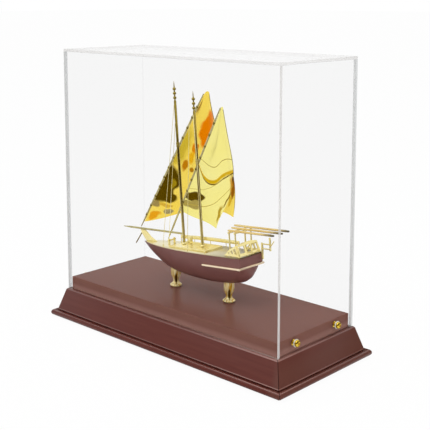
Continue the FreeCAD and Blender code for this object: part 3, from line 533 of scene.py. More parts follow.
def half_section(x):
    """Half of one hull section from keel to deck edge; aft, its lower part is rounded in."""
    along, wide, deep, *blend = station_at(x)
    corners = []
    for i in range(len(SECTIONS[0])):
        out = sum(share * section[i][0] for share, section in zip(blend, SECTIONS))
        down = sum(share * section[i][1] for share, section in zip(blend, SECTIONS))
        corners.append((out * wide * HULL_BEAM, -down * deep * HULL_DEPTH, 0))
    fine = smooth_line(corners, 6)
    split = -min(WALE_DROP, deep * HULL_DEPTH * 0.4)
    lower = level_points(fine, fine[0].y, split, 18, 1.7)
    upper = level_points(fine, split, 0, 8, 1)
    back = HULL_END - x
    if back < STERN_ROUNDING:
        for point in lower:
            bend = min(STERN_ROUNDING, 0.75 * point.x)
            inward = max(0, bend - back)
            point.x += math.sqrt(max(0, bend * bend - inward * inward)) - bend
            point.y *= 0.83 + 0.17 * math.sqrt(1 - (1 - back / STERN_ROUNDING) ** 2)
    lean = blend[2] * math.tan(PITCH)
    return [Vector((along * HULL_LENGTH + p.y * lean, p.x, p.y)) for p in lower + upper]


def loft_piece(name, rings):
    """Extrude one closed ring after another along a piece, each set to its own points."""
    bpy.ops.object.select_all(action="DESELECT")
    bpy.ops.mesh.primitive_circle_add(vertices=len(rings[0]), radius=1, fill_type="NGON")
    piece = bpy.context.object
    piece.name = name
    bpy.ops.object.mode_set(mode="EDIT")
    for index, ring in enumerate(rings):
        if index == 1:
            bpy.ops.mesh.duplicate()
        if index:
            bpy.ops.mesh.extrude_region_move()
        cage = bmesh.from_edit_mesh(piece.data)
        face = next(f for f in cage.faces if f.select)
        for loop, point in zip(face.loops, ring):
            loop.vert.co = Vector(point) * MM
        bmesh.update_edit_mesh(piece.data)
    return piece


hull_lacquer = new_material("satin_red_brown_lacquer")
# Satin lacquer over filled wood: an even red-brown with a soft, wide highlight.
# The grain is drawn 5 mm wide, coarser than real pores, so that it shows at all
spot = add(hull_lacquer, "ShaderNodeTexCoord").outputs["Object"]
_, tone = clouded(hull_lacquer, spot, (55.56, 4.545, 4.545), 4, linear("#7b504c"), linear("#855852"))
lay_finish(hull_lacquer, {"Base Color": tone, "Roughness": 0.4, "IOR": 1.5, "Specular IOR Level": 0.3})

straight = [HULL_BOW + (HULL_END - STERN_ROUNDING - HULL_BOW) * k / 60 for k in range(61)]
rounded = [HULL_END - STERN_ROUNDING * share for share in (0.8, 0.6, 0.42, 0.28, 0.16, 0.08, 0.03, 0)]
hull_rings = []
for x in straight + rounded:
    half = half_section(x)
    hull_rings.append(half + [(p.x, -p.y, p.z) for p in reversed(half[1:])])
hull = finish_piece(loft_piece("hull_lifts", hull_rings), hull_lacquer, aboard)
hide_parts("hull_topsides", "hull_bottom")
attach(hull, "base")

# Wale: a rubbing strip of half-round gold-plated brass along both quarters and across the transom.
# It is pinned on over the glue line between the two lifts.
WALE_GAUGE = 1.5
WALE_LOW = -12.8
WALE_HIGH = -10.4
WALE_START = 0.124 * HULL_LENGTH
WALE_END = HULL_END - WALE_DROP * math.tan(PITCH) - 0.2


def strip_section(out, inner):
    """A rounded strip seen end on, as pairs of breadth and height."""
    middle = (WALE_LOW + WALE_HIGH) / 2
    half = (WALE_HIGH - WALE_LOW) / 2
    nose = [math.radians(-90 + 22.5 * k) for k in range(9)]
    round_edge = [(out - 0.7 + 0.7 * math.cos(a), middle + half * math.sin(a)) for a in nose]
    return [(inner, WALE_LOW)] + round_edge + [(inner, WALE_HIGH)]


wale_gold = new_material("gold_plate_painted_floor_reflection")
# Gold plate painted warmer and paler than the rest, almost cream: a painted reflection of the pale floor,
# in 17 mm clouds
spot = add(wale_gold, "ShaderNodeTexCoord").outputs["Object"]
_, tone = clouded(wale_gold, spot, 16.67, 3, linear("#f2d6b0"), linear("#fdeed4"))
lay_finish(wale_gold, {"Base Color": tone, "Metallic": 0.6, "Roughness": 0.2})

for side, sign in (("port", -1), ("starboard", 1)):
    rings = []
    for k in range(13):
        x = WALE_START + (WALE_END - WALE_START) * k / 12
        section = strip_section(breadth(x) + WALE_GAUGE, breadth(x) - 3)
        rings.append([(x, sign * y, z) for y, z in section])
    wale = finish_piece(loft_piece(f"wale_{side}_strip", rings), wale_gold, aboard)
    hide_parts(f"wale_{side}")
    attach(wale, "base")

wale_half = breadth(HULL_END) + WALE_GAUGE
across = strip_section(WALE_END + WALE_GAUGE + 0.2, WALE_END - 3)
rings = [[(x, y, z) for x, z in across] for y in (-wale_half, wale_half)]
wale = finish_piece(loft_piece("wale_stern_strip", rings), wale_gold, aboard, arris=0.2)
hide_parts("wale_stern")
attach(wale, "base")

# Deck: a sheet of thin plate cut to the deck line, brushed along its length and pale gold plated.
# It is glued on the topsides and stops just short of their edge.
DECK_TOP = 1.0
DECK_INSET = 0.8


def plate_piece(name, loops, thickness):
    """A flat outline, with any windows, filled and extruded by a thickness."""
    piece = start_piece(name, loops[0][0])
    for index, loop in enumerate(loops):
        if index:
            bpy.ops.mesh.primitive_plane_add(size=MM)
            bpy.ops.mesh.merge(type="CENTER")
            bpy.ops.transform.translate(value=Vector(loop[0]) * MM)
        draw_on([*loop, loop[0]])
    bpy.ops.mesh.select_all(action="SELECT")
    bpy.ops.mesh.remove_doubles(threshold=WELD * MM)
    bpy.ops.mesh.fill()
    bpy.ops.mesh.extrude_region_move(TRANSFORM_OT_translate={"value": Vector(thickness) * MM})
    return piece


deck_plate = new_material("brushed_pale_gold_plate")
# Brushed plate: a pale gold, greyer aft, with a blurred shine. The brush lines run along the ship,
# 0.7 mm apart, much coarser than real ones, so that they show
spot = add(deck_plate, "ShaderNodeTexCoord").outputs["Object"]
_, tone = clouded(deck_plate, spot, (25, 0.7143, 25), 3, linear("#e8dcb0"), linear("#fdf5ce"))
_, tone = faded(deck_plate, spot, 0, (5, 80), tone, linear("#8e7f5f"))
lay_finish(deck_plate, {"Base Color": tone, "Metallic": 1.0, "Roughness": 0.3})

deck_stops = [-95 + (HULL_END - DECK_INSET + 95) * k / 40 for k in range(41)]
deck_side = [(x, breadth(x) - DECK_INSET) for x in deck_stops]
deck_line = deck_side + [(x, -y) for x, y in reversed(deck_side)]
deck = plate_piece("deck_sheet", [[(x, y, 0) for x, y in deck_line]], (0, 0, DECK_TOP))
finish_piece(deck, deck_plate, aboard, arris=0.15, smooth=30)
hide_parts("deck")
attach(deck, "base")

# Hatch: a raised coaming of flat strip with a sheet lid, gold plated, pierced by both masts.
# Collars with rounded shoulders cover the gaps where the masts come through.
HATCH = (-38, 20)
HATCH_HALF = 14.5
COAMING_GAUGE = 1.2
LID_BOTTOM = 2.4
LID_TOP = 3.2
LID_MARGIN = 2
LID_SINK = 0.3
MAST_SPOTS = (-29, 1.7)
MAST_RADIUS = 1.75


def rectangle(x, y, z):
    """The corners of a level rectangle between two lengths and two breadths."""
    return [(x[0], y[0], z), (x[1], y[0], z), (x[1], y[1], z), (x[0], y[1], z)]


def join_pieces(pieces, name):
    """Make one object of several finished ones."""
    bpy.ops.object.select_all(action="DESELECT")
    for piece in pieces:
        piece.select_set(True)
    bpy.context.view_layer.objects.active = pieces[0]
    if len(pieces) > 1:
        bpy.ops.object.join()
    pieces[0].name = name
    return pieces[0]


def copy_row(pattern, spots, name):
    """One object made of copies of a piece at several spots."""
    return join_pieces([copy_piece(pattern, name, spot) for spot in spots], name)


def on_ship(point):
    """The place of a point given in the ship's own frame."""
    return aboard @ Matrix.Translation(Vector(point) * MM)


outer = rectangle(HATCH, (-HATCH_HALF, HATCH_HALF), DECK_TOP)
inside = (HATCH[0] + COAMING_GAUGE, HATCH[1] - COAMING_GAUGE)
well_half = HATCH_HALF - COAMING_GAUGE
inner = rectangle(inside, (-well_half, well_half), DECK_TOP)
coaming = plate_piece("hatch_coaming_strip", [outer, inner], (0, 0, LID_BOTTOM - DECK_TOP))
finish_piece(coaming, gold, aboard, arris=0.15)
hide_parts("hatch_coaming")
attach(coaming, "base")

bpy.ops.object.select_all(action="DESELECT")
lid_length = HATCH[1] - HATCH[0] + COAMING_GAUGE
lid_size = Vector((lid_length, 2 * HATCH_HALF + COAMING_GAUGE, LID_TOP - LID_BOTTOM))
lid_middle = Vector((sum(HATCH) / 2, 0, (LID_BOTTOM + LID_TOP) / 2))
bpy.ops.mesh.primitive_cube_add(size=MM)
lid = bpy.context.object
lid.name = "hatch_cover_sheet"
bpy.ops.object.mode_set(mode="EDIT")
bpy.ops.transform.resize(value=lid_size)
bpy.ops.transform.translate(value=lid_middle * MM)
cage = bmesh.from_edit_mesh(lid.data)
bpy.ops.mesh.select_all(action="DESELECT")
cage.faces.ensure_lookup_table()
for face in cage.faces:
    face.select_set(face.normal.z > 0.9)
bpy.ops.mesh.inset(thickness=LID_MARGIN * MM)
bpy.ops.transform.translate(value=(0, 0, -LID_SINK * MM))
finish_piece(lid, gold, aboard, arris=0.2)
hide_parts("hatch_cover")
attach(lid, "base")

collar = [(1.7, 0), (2.9, 0), (2.9, 0.9), (2.7, 1.5), (2.3, 1.9), (1.7, 2.0)]
boot = turn_piece("boot", collar, gold, segments=28)
boots = copy_row(boot, [on_ship((x, 0, LID_TOP)) for x in MAST_SPOTS], "mast_boots_collars")
bpy.data.objects.remove(boot)
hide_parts("mast_boots")
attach(boots, "base")

# Rail: a flat band of plate bent along the starboard side, on turned stanchions set in the deck.
# Three small deadeyes stand along the open port side, where the rigging wires end.
RAIL_STOPS = [k * HULL_LENGTH for k in (-0.2825, -0.1695, -0.0282, 0.1130, 0.2373)]
RAIL_LOW = 5.0
RAIL_HIGH = 9.5
RAIL_GAUGE = 1.0
RAIL_INSET = 1
DEADEYE_STOPS = (-50, -4, 24)
DEADEYE_INSET = 2.6
rings = []
for k in range(25):
    x = RAIL_STOPS[0] + (RAIL_STOPS[-1] - RAIL_STOPS[0]) * k / 24
    out = breadth(x) - RAIL_INSET
    back = out - RAIL_GAUGE
    rings.append([(x, out, RAIL_LOW), (x, back, RAIL_LOW), (x, back, RAIL_HIGH), (x, out, RAIL_HIGH)])
rail = finish_piece(loft_piece("starboard_rail_band", rings), gold, aboard, arris=0.2)
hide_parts("starboard_rail")
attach(rail, "base")

baluster = [(0, 0), (0.7, 0), (0.7, 0.4), (0.4, 0.7), (0.36, 1.4)]
baluster += [(0.55, 2.0), (0.36, 2.6), (0.4, 4.0), (0, 4.0)]
stanchion = turn_piece("stanchion", baluster, gold, segments=16)
under_rail = RAIL_INSET + RAIL_GAUGE / 2
seats = [on_ship((x, breadth(x) - under_rail, DECK_TOP)) for x in RAIL_STOPS]
stanchions = copy_row(stanchion, seats, "rail_stanchions_turnings")
bpy.data.objects.remove(stanchion)
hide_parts("rail_stanchions")
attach(stanchions, "base")

eye = [(0, 0), (0.7, 0), (0.6, 0.6), (0.85, 1.2), (0.9, 1.8)]
eye += [(0.85, 2.4), (0.5, 3.0), (0.4, 3.5), (0, 3.5)]
deadeye = turn_piece("deadeye", eye, gold, segments=16)
seats = [on_ship((x, DEADEYE_INSET - breadth(x), DECK_TOP)) for x in DEADEYE_STOPS]
deadeyes = copy_row(deadeye, seats, "deadeyes_turnings")
bpy.data.objects.remove(deadeye)
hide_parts("deadeyes")
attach(deadeyes, "base")

# Bow: a stem plate carries the long bowsprit, with a thin martingale rod below it.
# Bitts stand on the foredeck and a binnacle box beside the main mast, all gold-plated brass.
STEM = 0.5616 * HULL_LENGTH
SPRIT_HEIGHT = 15.6
SPRIT_RADIUS = 1.25
SPRIT_LENGTH = 107.2
SPRIT_TIP = -137.7
STEM_TOP = SPRIT_HEIGHT - SPRIT_RADIUS


def block_piece(name, material, low, high, arris):
    """A squared block between two opposite corners, with its arrises taken off."""
    bpy.ops.object.select_all(action="DESELECT")
    bpy.ops.mesh.primitive_cube_add(size=MM)
    piece = bpy.context.object
    piece.name = name
    bpy.ops.object.mode_set(mode="EDIT")
    bpy.ops.transform.resize(value=Vector(high) - Vector(low))
    bpy.ops.transform.translate(value=(Vector(low) + Vector(high)) / 2 * MM)
    return finish_piece(piece, material, aboard, arris=arris)


def rod_piece(name, material, start, end, radii, segments=16):
    """A straight rod from one point to another, with a radius at each share of its length."""
    reach = Vector(end) - Vector(start)
    turn = Vector((0, 0, 1)).rotation_difference(reach).to_matrix().to_4x4()
    spot = on_ship(start) @ turn
    profile = [(0, 0)] + [(radius, share * reach.length) for share, radius in radii] + [(0, reach.length)]
    return turn_piece(name, profile, material, spot, segments)


dull_gold = new_material("dull_gold_plate")
# Thin plating over brass that has gone olive in 11 mm clouds: a metal, but greyer than its neighbours
spot = add(dull_gold, "ShaderNodeTexCoord").outputs["Object"]
_, tone = clouded(dull_gold, spot, 11.11, 3, linear("#9c9058"), linear("#d2c894"))
lay_finish(dull_gold, {"Base Color": tone, "Metallic": 0.9, "Roughness": 0.15})

stem_line = [
    (-STEM + 3.4, DECK_TOP),
    (-STEM + 23, DECK_TOP),
    (-STEM + 12.5, 6.4),
    (-STEM + 4, STEM_TOP - 1),
    (-STEM + 1.5, STEM_TOP),
    (-STEM - 5.6, STEM_TOP),
    (-STEM - 3.6, STEM_TOP - 5),
]
stem = plate_piece("stem_plate_sheet", [[(x, -0.8, z) for x, z in stem_line]], (0, 1.6, 0))
finish_piece(stem, gold, aboard, arris=0.3)
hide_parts("stem_plate")
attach(stem, "base")

sprit_tip = (SPRIT_TIP, 0, SPRIT_HEIGHT)
sprit_heel = (SPRIT_TIP + SPRIT_LENGTH, 0, SPRIT_HEIGHT)
sprit_radii = [(0, 0.3), (0.004, 0.5), (0.13, SPRIT_RADIUS), (1, SPRIT_RADIUS)]
bowsprit = rod_piece("bowsprit_turning", dull_gold, sprit_tip, sprit_heel, sprit_radii, segments=24)
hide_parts("bowsprit")
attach(bowsprit, "base")

striker_top = (-STEM - 3.2, 0, STEM_TOP - 3)
striker_tip = (-STEM - 17, 0, -4.5)
striker_radii = [(0, 0.8), (0.9, 0.75), (0.99, 0.5)]
martingale = rod_piece("martingale_rod", dull_gold, striker_top, striker_tip, striker_radii)
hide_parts("martingale")
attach(martingale, "base")

BITT_X = -0.29 * HULL_LENGTH
BITT_SIDE = 4.5
BITT_HEIGHT = 7.5
bitts = []
for y in (BITT_SIDE, -BITT_SIDE):
    post_low = (BITT_X, y - 1, DECK_TOP)
    post_high = (BITT_X + 2, y + 1, DECK_TOP + BITT_HEIGHT)
    bitts.append(block_piece("bitt", gold, post_low, post_high, 0.3))
bar_low = (BITT_X + 0.2, -6.5, DECK_TOP + 4.4)
bar_high = (BITT_X + 1.8, 6.5, DECK_TOP + 6.2)
bitts.append(block_piece("bitt_bar", gold, bar_low, bar_high, 0.3))
bitts = join_pieces(bitts, "bitts_posts")
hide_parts("bitts")
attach(bitts, "base")

binnacle = [
    block_piece("binnacle_box", gold, (-26.5, 4, LID_TOP), (-22.5, 8.5, LID_TOP + 8), 0.3),
    block_piece("binnacle_cap", gold, (-27, 3.5, LID_TOP + 8), (-22, 9, LID_TOP + 9), 0.35),
]
binnacle = join_pieces(binnacle, "binnacle_case")
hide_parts("binnacle")
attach(binnacle, "base")

# Taffrail: three pierced panels of stamped plate round the stern, standing on short feet.
# The stern panel leans forward; the quarter panels taper down towards the waist of the ship.
TAFF_GAUGE = 1.2
TAFF_HEIGHT = 15.6
TAFF_LEAN = math.radians(19.6)
TAFF_BASE = HULL_END - 1.9
TAFF_SIDE = STATIONS[-1][1] * HULL_BEAM - 1.8
SIDE_TOP = TAFF_HEIGHT * 0.87


def raked(x, up, y):
    return (TAFF_BASE + x - math.tan(TAFF_LEAN) * up, y, DECK_TOP + up)


def panel_feet(stops, width, gap):
    """The lower edge of a panel that stands clear of the deck on short feet."""
    edge = []
    for stop in stops:
        edge += [(stop, gap), (stop, 0), (stop + width, 0), (stop + width, gap)]
    return edge


quarter_line = [
    (-23.6, 0.8),
    *panel_feet((-20, -11.6), 1.6, 0.8),
    (-1.6, 0.8),
    (-1.6, 0),
    (0, 0),
    (0, SIDE_TOP),
    (-4.0, SIDE_TOP * 0.87),
    (-11.5, SIDE_TOP * 0.62),
    (-19, SIDE_TOP * 0.24),
]
windows = ((-15.3, -12.7, 0.33, 0.42), (-10.4, -7.3, 0.49, 0.59), (-5.0, -2.1, 0.65, 0.73))
quarter_windows = [
    [(a, 3.6), (b, 3.6), (b, SIDE_TOP * high), (a, SIDE_TOP * low)] for a, b, low, high in windows
]
for side, y in (("port", -TAFF_SIDE), ("starboard", TAFF_SIDE - TAFF_GAUGE)):
    loops = [[raked(x, up, y) for x, up in loop] for loop in [quarter_line, *quarter_windows]]
    panel = plate_piece(f"taffrail_{side}_panel", loops, (0, TAFF_GAUGE, 0))
    finish_piece(panel, gold, aboard, arris=0.25)
    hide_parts(f"taffrail_{side}")
    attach(panel, "base")

stern_line = [
    (-TAFF_SIDE, 0),
    (1.6 - TAFF_SIDE, 0),
    (1.6 - TAFF_SIDE, 0.8),
    *panel_feet((-TAFF_SIDE * 0.32, TAFF_SIDE * 0.23), 1.6, 0.8),
    (TAFF_SIDE - 1.6, 0.8),
    (TAFF_SIDE - 1.6, 0),
    (TAFF_SIDE, 0),
    (TAFF_SIDE * 0.96, TAFF_HEIGHT * 0.90),
    (TAFF_SIDE * 0.42, TAFF_HEIGHT * 1.01),
    (-TAFF_SIDE * 0.42, TAFF_HEIGHT * 1.01),
    (-TAFF_SIDE * 0.96, TAFF_HEIGHT * 0.90),
]
openings = [(TAFF_SIDE * y, TAFF_SIDE * half) for y, half in ((-0.60, 0.24), (0, 0.20), (0.60, 0.24))]
sill, lintel = 4.2, TAFF_HEIGHT * 0.77
stern_windows = [
    [(y - half, sill), (y + half, sill), (y + half, lintel), (y - half, lintel)] for y, half in openings
]
loops = [[(0, y, up) for y, up in loop] for loop in [stern_line, *stern_windows]]
panel = plate_piece("taffrail_stern_panel", loops, (TAFF_GAUGE, 0, 0))
stand = on_ship((TAFF_BASE, 0, DECK_TOP)) @ Matrix.Rotation(-TAFF_LEAN, 4, "Y")
finish_piece(panel, gold, stand, arris=0.25)
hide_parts("taffrail_stern")
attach(panel, "base")

# Gallows: two bent-rod frames over the after deck that carry three spare spars lashed on top.
# A cast bracket with a slanting pin stands out behind the starboard quarter.
GALLOWS_HEIGHT = 27.4
GALLOWS_WIDTH = 31
GALLOWS_RADIUS = 1.0
SPAR_RADIUS = 1.3
round_ends = [(0, 0.7), (0.012, 0.95), (0.03, GALLOWS_RADIUS)]
round_ends += [(1 - share, radius) for share, radius in reversed(round_ends)]
footed = [(0, 1.5), (0.025, 1.5), (0.05, 0.9), (1, 0.9)]
for name, x in (("gallows_fore", 58), ("gallows_aft", 67)):
    frame_parts = []
    for y in (GALLOWS_WIDTH * 0.43, -GALLOWS_WIDTH * 0.43):
        frame_parts.append(rod_piece("post", gold, (x, y, DECK_TOP), (x, y, GALLOWS_HEIGHT), footed))
    ends = [(x, side * GALLOWS_WIDTH / 2, GALLOWS_HEIGHT) for side in (-1, 1)]
    frame_parts.append(rod_piece("beam", gold, *ends, round_ends))
    gallows = join_pieces(frame_parts, f"{name}_frame")
    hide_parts(name)
    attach(gallows, "base")

spar_gold = new_material("gold_plate_with_painted_dark_ends")
# Rich yellow plating in streaks 33 mm long and as wide as the spar; over the last 20 mm
# at the after ends it goes over into a dark grey, a painted dark reflection
spot = add(spar_gold, "ShaderNodeTexCoord").outputs["Object"]
_, rich = clouded(spar_gold, spot, (33.33, 2.5, 2.5), 2, linear("#d8a83c"), linear("#fff0b4"))
_, tone = faded(spar_gold, spot, 0, (100, 118), rich, linear("#645c40"))
lay_finish(spar_gold, {"Base Color": tone, "Metallic": 0.6, "Roughness": 0.12})

SPAR_HEIGHT = GALLOWS_HEIGHT + GALLOWS_RADIUS + SPAR_RADIUS
spar_radii = [(0, 0.8), (0.004, 1.0), (0.05, SPAR_RADIUS)]
spar_radii += [(1 - share, radius) for share, radius in reversed(spar_radii)]
spars = []
for start, end, y in ((42, 123, 13.6), (49, 124, 1), (56, 123, -12.6)):
    spar_ends = ((start, y, SPAR_HEIGHT), (end, y, SPAR_HEIGHT))
    spars.append(rod_piece("spar", spar_gold, *spar_ends, spar_radii, segments=20))
spars = join_pieces(spars, "spare_spars_turnings")
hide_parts("spare_spars")
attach(spars, "base")

BRACKET_X = HULL_END - 0.6
BRACKET_Y = TAFF_SIDE - 1
BRACKET_GAUGE = 1.8
# Name, start and end behind the transom, lower and upper end
uprights = (("bracket_plate", 0.7, 3, -7, 12), ("bracket_post", 13, 14.8, 3.4, 18.9))
bracket = []
for name, near, far, low, high in uprights:
    corner = (BRACKET_X + near, BRACKET_Y, low)
    opposite = (BRACKET_X + far, BRACKET_Y + BRACKET_GAUGE, high)
    bracket.append(block_piece(name, gold, corner, opposite, 0.3))
for z in (4.6, 10):
    arm_low = (BRACKET_X + 1, BRACKET_Y + 0.2, z)
    arm_high = (BRACKET_X + 14, BRACKET_Y + 1.6, z + 1.4)
    bracket.append(block_piece("bracket_arm", gold, arm_low, arm_high, 0.25))
pin_start = (BRACKET_X + 14, BRACKET_Y + 0.9, 8)
pin_end = (BRACKET_X + 20, BRACKET_Y + 0.9, 15.3)
bracket.append(rod_piece("bracket_pin", gold, pin_start, pin_end, [(0, 0.6), (0.93, 0.6), (1, 0.35)]))
bracket = join_pieces(bracket, "stern_bracket_casting")
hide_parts("stern_bracket")
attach(bracket, "base")

# Masts: two tapered brass turnings, gold plated, stepped through the hatch into the hull.
# Each ends in a finial of three beads under a thin spike.
MASTS = {"main_mast": (MAST_SPOTS[0], 200.0), "mizzen_mast": (MAST_SPOTS[1], 187.7)}
FINIAL_DROP = 25
FINIAL_RADIUS = 2.1
FINIAL_FIRST_BEAD = 20.6
FINIAL_STEP = 5.3
FINIAL_HALF_BEAD = 1.7


def mast_profile(height):
    """The turner's outline of a mast of a given height: taper, three beads, spike."""
    profile = [(0, DECK_TOP), (MAST_RADIUS, DECK_TOP), (MAST_RADIUS * 0.88, height - FINIAL_DROP)]
    for bead in range(3):
        middle = height - FINIAL_FIRST_BEAD + FINIAL_STEP * bead
        profile.append((MAST_RADIUS * 0.5, middle - FINIAL_HALF_BEAD - 0.5))
        for step in range(9):
            a = math.radians(-80 + 20 * step)
            swell = FINIAL_RADIUS * (0.3 + 0.7 * math.cos(a))
            profile.append((swell, middle + FINIAL_HALF_BEAD * math.sin(a)))
    return profile + [(MAST_RADIUS * 0.4, height - 7), (MAST_RADIUS * 0.25, height - 3), (0, height)]


mast_gold = new_material("mast_gold_painted_dark_towards_top")
# Painted reflection, in 25 mm clouds: dark olive gold towards the masthead, bright near the deck
spot = add(mast_gold, "ShaderNodeTexCoord").outputs["Object"]
climb, painted_dark_aloft = faded(mast_gold, spot, 2, (125, 190), linear("#fbeaa4"), linear("#7e6c2a"))
_, tone = clouded(mast_gold, spot, 25, 2, painted_dark_aloft, linear("#a08c3e"))
metal = add(mast_gold, "ShaderNodeMapRange", {"Value": climb, "To Min": 0.55, "To Max": 1.0})
lay_finish(mast_gold, {"Base Color": tone, "Metallic": metal.outputs[0], "Roughness": 0.1})

for name, (x, height) in MASTS.items():
    step = on_ship((x, 0, 0))
    mast = turn_piece(f"{name}_turning", mast_profile(height), mast_gold, step, segments=24)
    mast.visible_glossy = False
    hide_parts(name)
    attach(mast, "base")

# Yards: long tapered rods beside the masts, held by beaded parrels and carrying cord lashings.
# The cords are cast in plated metal like the rest, three turns to each lashing.
YARD_SIDE = 3.15
YARD_RADIUS = 1.15
CORD_RADIUS = 0.5
CORD_STEP = 0.9
PARREL_RADIUS = 1.5
PARREL_BEAD = 0.65
PARREL_STEP = 2
half_round = [math.radians(-90 + 30 * step) for step in range(7)]
# Lower end along and above the deck, length, slope from upright, first lashing, spacing, count
YARDS = {
    "main": ((-107.7, 17.2), 207, 36.6, 0.0995, 0.0735, 12),
    "mizzen": ((-59.4, 6.0), 190, 31.9, 0.30, 0.084, 8),
}
turns_of_cord = []
for coil in (-1, 0, 1):
    for a in half_round:
        up = CORD_STEP * coil + 0.44 * math.sin(a)
        turns_of_cord.append((YARD_RADIUS + CORD_RADIUS * math.cos(a), up))
cord_gold = new_material("dark_olive_gold_cord")
# Cast cord in a dark olive gold, clouded lashing by lashing (5 mm)
spot = add(cord_gold, "ShaderNodeTexCoord").outputs["Object"]
_, tone = clouded(cord_gold, spot, 5, 2, linear("#4e420e"), linear("#96822e"))
lay_finish(cord_gold, {"Base Color": tone, "Metallic": 0.9, "Roughness": 0.25})

lashing = turn_piece("lashing", turns_of_cord, cord_gold, segments=20, smooth=60)
for name, ((x, z), length, slope, first, spacing, count) in YARDS.items():
    hoist = on_ship((x, YARD_SIDE, z)) @ Matrix.Rotation(math.radians(slope), 4, "Y")
    tip = [(0, 0), (0.45, 0), (0.55, 0.4), (0.8, length * 0.05), (YARD_RADIUS, length * 0.1)]
    yard_line = tip + [(radius, length - height) for radius, height in reversed(tip)]
    yard = turn_piece(f"{name}_yard_turning", yard_line, dull_gold, hoist, segments=20)
    yard.visible_glossy = False
    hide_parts(f"{name}_yard")
    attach(yard, "base")
    stops = [length * (first + spacing * k) * MM for k in range(count)]
    spots = [hoist @ Matrix.Translation((0, 0, stop)) for stop in stops]
    ties = copy_row(lashing, spots, f"{name}_lashings_cords")
    ties.visible_glossy = False
    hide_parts(f"{name}_lashings")
    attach(ties, "base")
bpy.data.objects.remove(lashing)

parrel_beads = []
for bead in (-1, 0, 1):
    for a in half_round:
        up = PARREL_STEP * bead + 0.98 * math.sin(a)
        parrel_beads.append((PARREL_RADIUS + PARREL_BEAD * math.cos(a), up))
crossings = []
for mast_x, name in zip(MAST_SPOTS, YARDS):
    (x, z), _, slope = YARDS[name][:3]
    crossings.append(on_ship((mast_x, 0, z + (mast_x - x) / math.tan(math.radians(slope)))))
parrel = turn_piece("parrel", parrel_beads, mast_gold, segments=24, smooth=60)
parrels = copy_row(parrel, crossings, "parrels_beads")
bpy.data.objects.remove(parrel)
parrels.visible_glossy = False
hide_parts("parrels")
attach(parrels, "base")

# Sails: thin brass sheet, bellied by hand over a former, gold plated and buffed like a mirror.
# They hang by their edges from the yards' lashings. Their largest reflections are painted into the
# plate as toned patches and lines, and the sheet is not quite even, so real reflections wander across it.
SAIL_GAUGE = 0.8
SAIL_OFF_YARD = 1.5
LINE_FLOOR = 150
LINE_RISE = 100


def sheet_gold(name, shades, reflection_patches, reflection_lines):
    """Mirror-gold sheet: pale yellow with painted reflections as toned patches and thin wavy lines,
    placed in millimetres.
    """
    sheet = new_material(name)
    # Plated and buffed brass: deeper in 56 mm clouds, dented in 45 mm waves, and every painted reflection
    # patch has an outline that wanders in and out by a few millimetres every 18 mm
    spot = add(sheet, "ShaderNodeTexCoord").outputs["Object"]
    sway = add(sheet, "ShaderNodeTexNoise", {"Vector": spot, "Scale": 1 / (18.18 * MM), "Detail": 1.5})
    half = (0.5, 0.5, 0.5)
    drift = sway.outputs["Color"]
    centred = add(sheet, "ShaderNodeVectorMath", {0: drift, 1: half}, operation="SUBTRACT")
    moved = add(
        sheet,
        "ShaderNodeVectorMath",
        {0: centred.outputs[0], 1: (15 * MM, 0, 12 * MM), 2: spot},
        operation="MULTIPLY_ADD",
    )
    _, colour = clouded(sheet, spot, 55.56, 2, linear(shades[0]), linear(shades[1]))
    painted_reflections = []
    for (x, z), (length, width), slant, edge, code in reflection_patches:
        reach = (length, 1000, width)
        painted_reflections.append((soft_spot(sheet, moved.outputs[0], (x, 0, z), (0, slant, 0), reach, edge), code))
    place = add(sheet, "ShaderNodeSeparateXYZ", {0: spot})
    for points, width, code in reflection_lines:
        low, high = points[0][0] * MM, points[-1][0] * MM
        run = {"From Min": low, "From Max": high}
        share = add(sheet, "ShaderNodeMapRange", {"Value": place.outputs[0], **run})
        path = add(sheet, "ShaderNodeFloatCurve", {"Value": share.outputs[0]})
        curve = path.mapping.curves[0]
        for index, (x, z) in enumerate(points):
            at = ((x * MM - low) / (high - low), (z - LINE_FLOOR) / LINE_RISE)
            if index < 2:
                curve.points[index].location = at
            else:
                curve.points.new(*at)
        path.mapping.update()
        rise = {"To Min": LINE_FLOOR * MM, "To Max": (LINE_FLOOR + LINE_RISE) * MM}
        level = add(sheet, "ShaderNodeMapRange", {"Value": path.outputs[0], **rise})
        height = place.outputs[2]
        gap = add(sheet, "ShaderNodeMath", {0: height, 1: level.outputs[0]}, operation="SUBTRACT")
        away = add(sheet, "ShaderNodeMath", {0: gap.outputs[0]}, operation="ABSOLUTE")
        soft = {"From Min": width * 0.4 * MM, "From Max": width * MM, "To Min": 1.0, "To Max": 0.0}
        near = add(
            sheet,
            "ShaderNodeMapRange",
            {"Value": away.outputs[0], **soft},
            interpolation_type="SMOOTHSTEP",
        )
        painted_reflections.append((near.outputs[0], code))
    for share, code in painted_reflections:
        mixed = add(sheet, "ShaderNodeMix", {0: share, 6: colour, 7: linear(code)}, data_type="RGBA")
        colour = mixed.outputs[2]
    waves = add(sheet, "ShaderNodeTexNoise", {"Vector": spot, "Scale": 1 / (45.45 * MM), "Detail": 1.0})
    dents = {"Height": waves.outputs["Fac"], "Strength": 0.12, "Distance": 2 * MM}
    skin = add(sheet, "ShaderNodeBump", dents)
    lay_finish(
        sheet,
        {
            "Base Color": colour,
            "Metallic": 0.8,
            "Roughness": 0.14,
            "Specular IOR Level": 0.0,
            "Normal": skin.outputs[0],
        },
    )
    return sheet
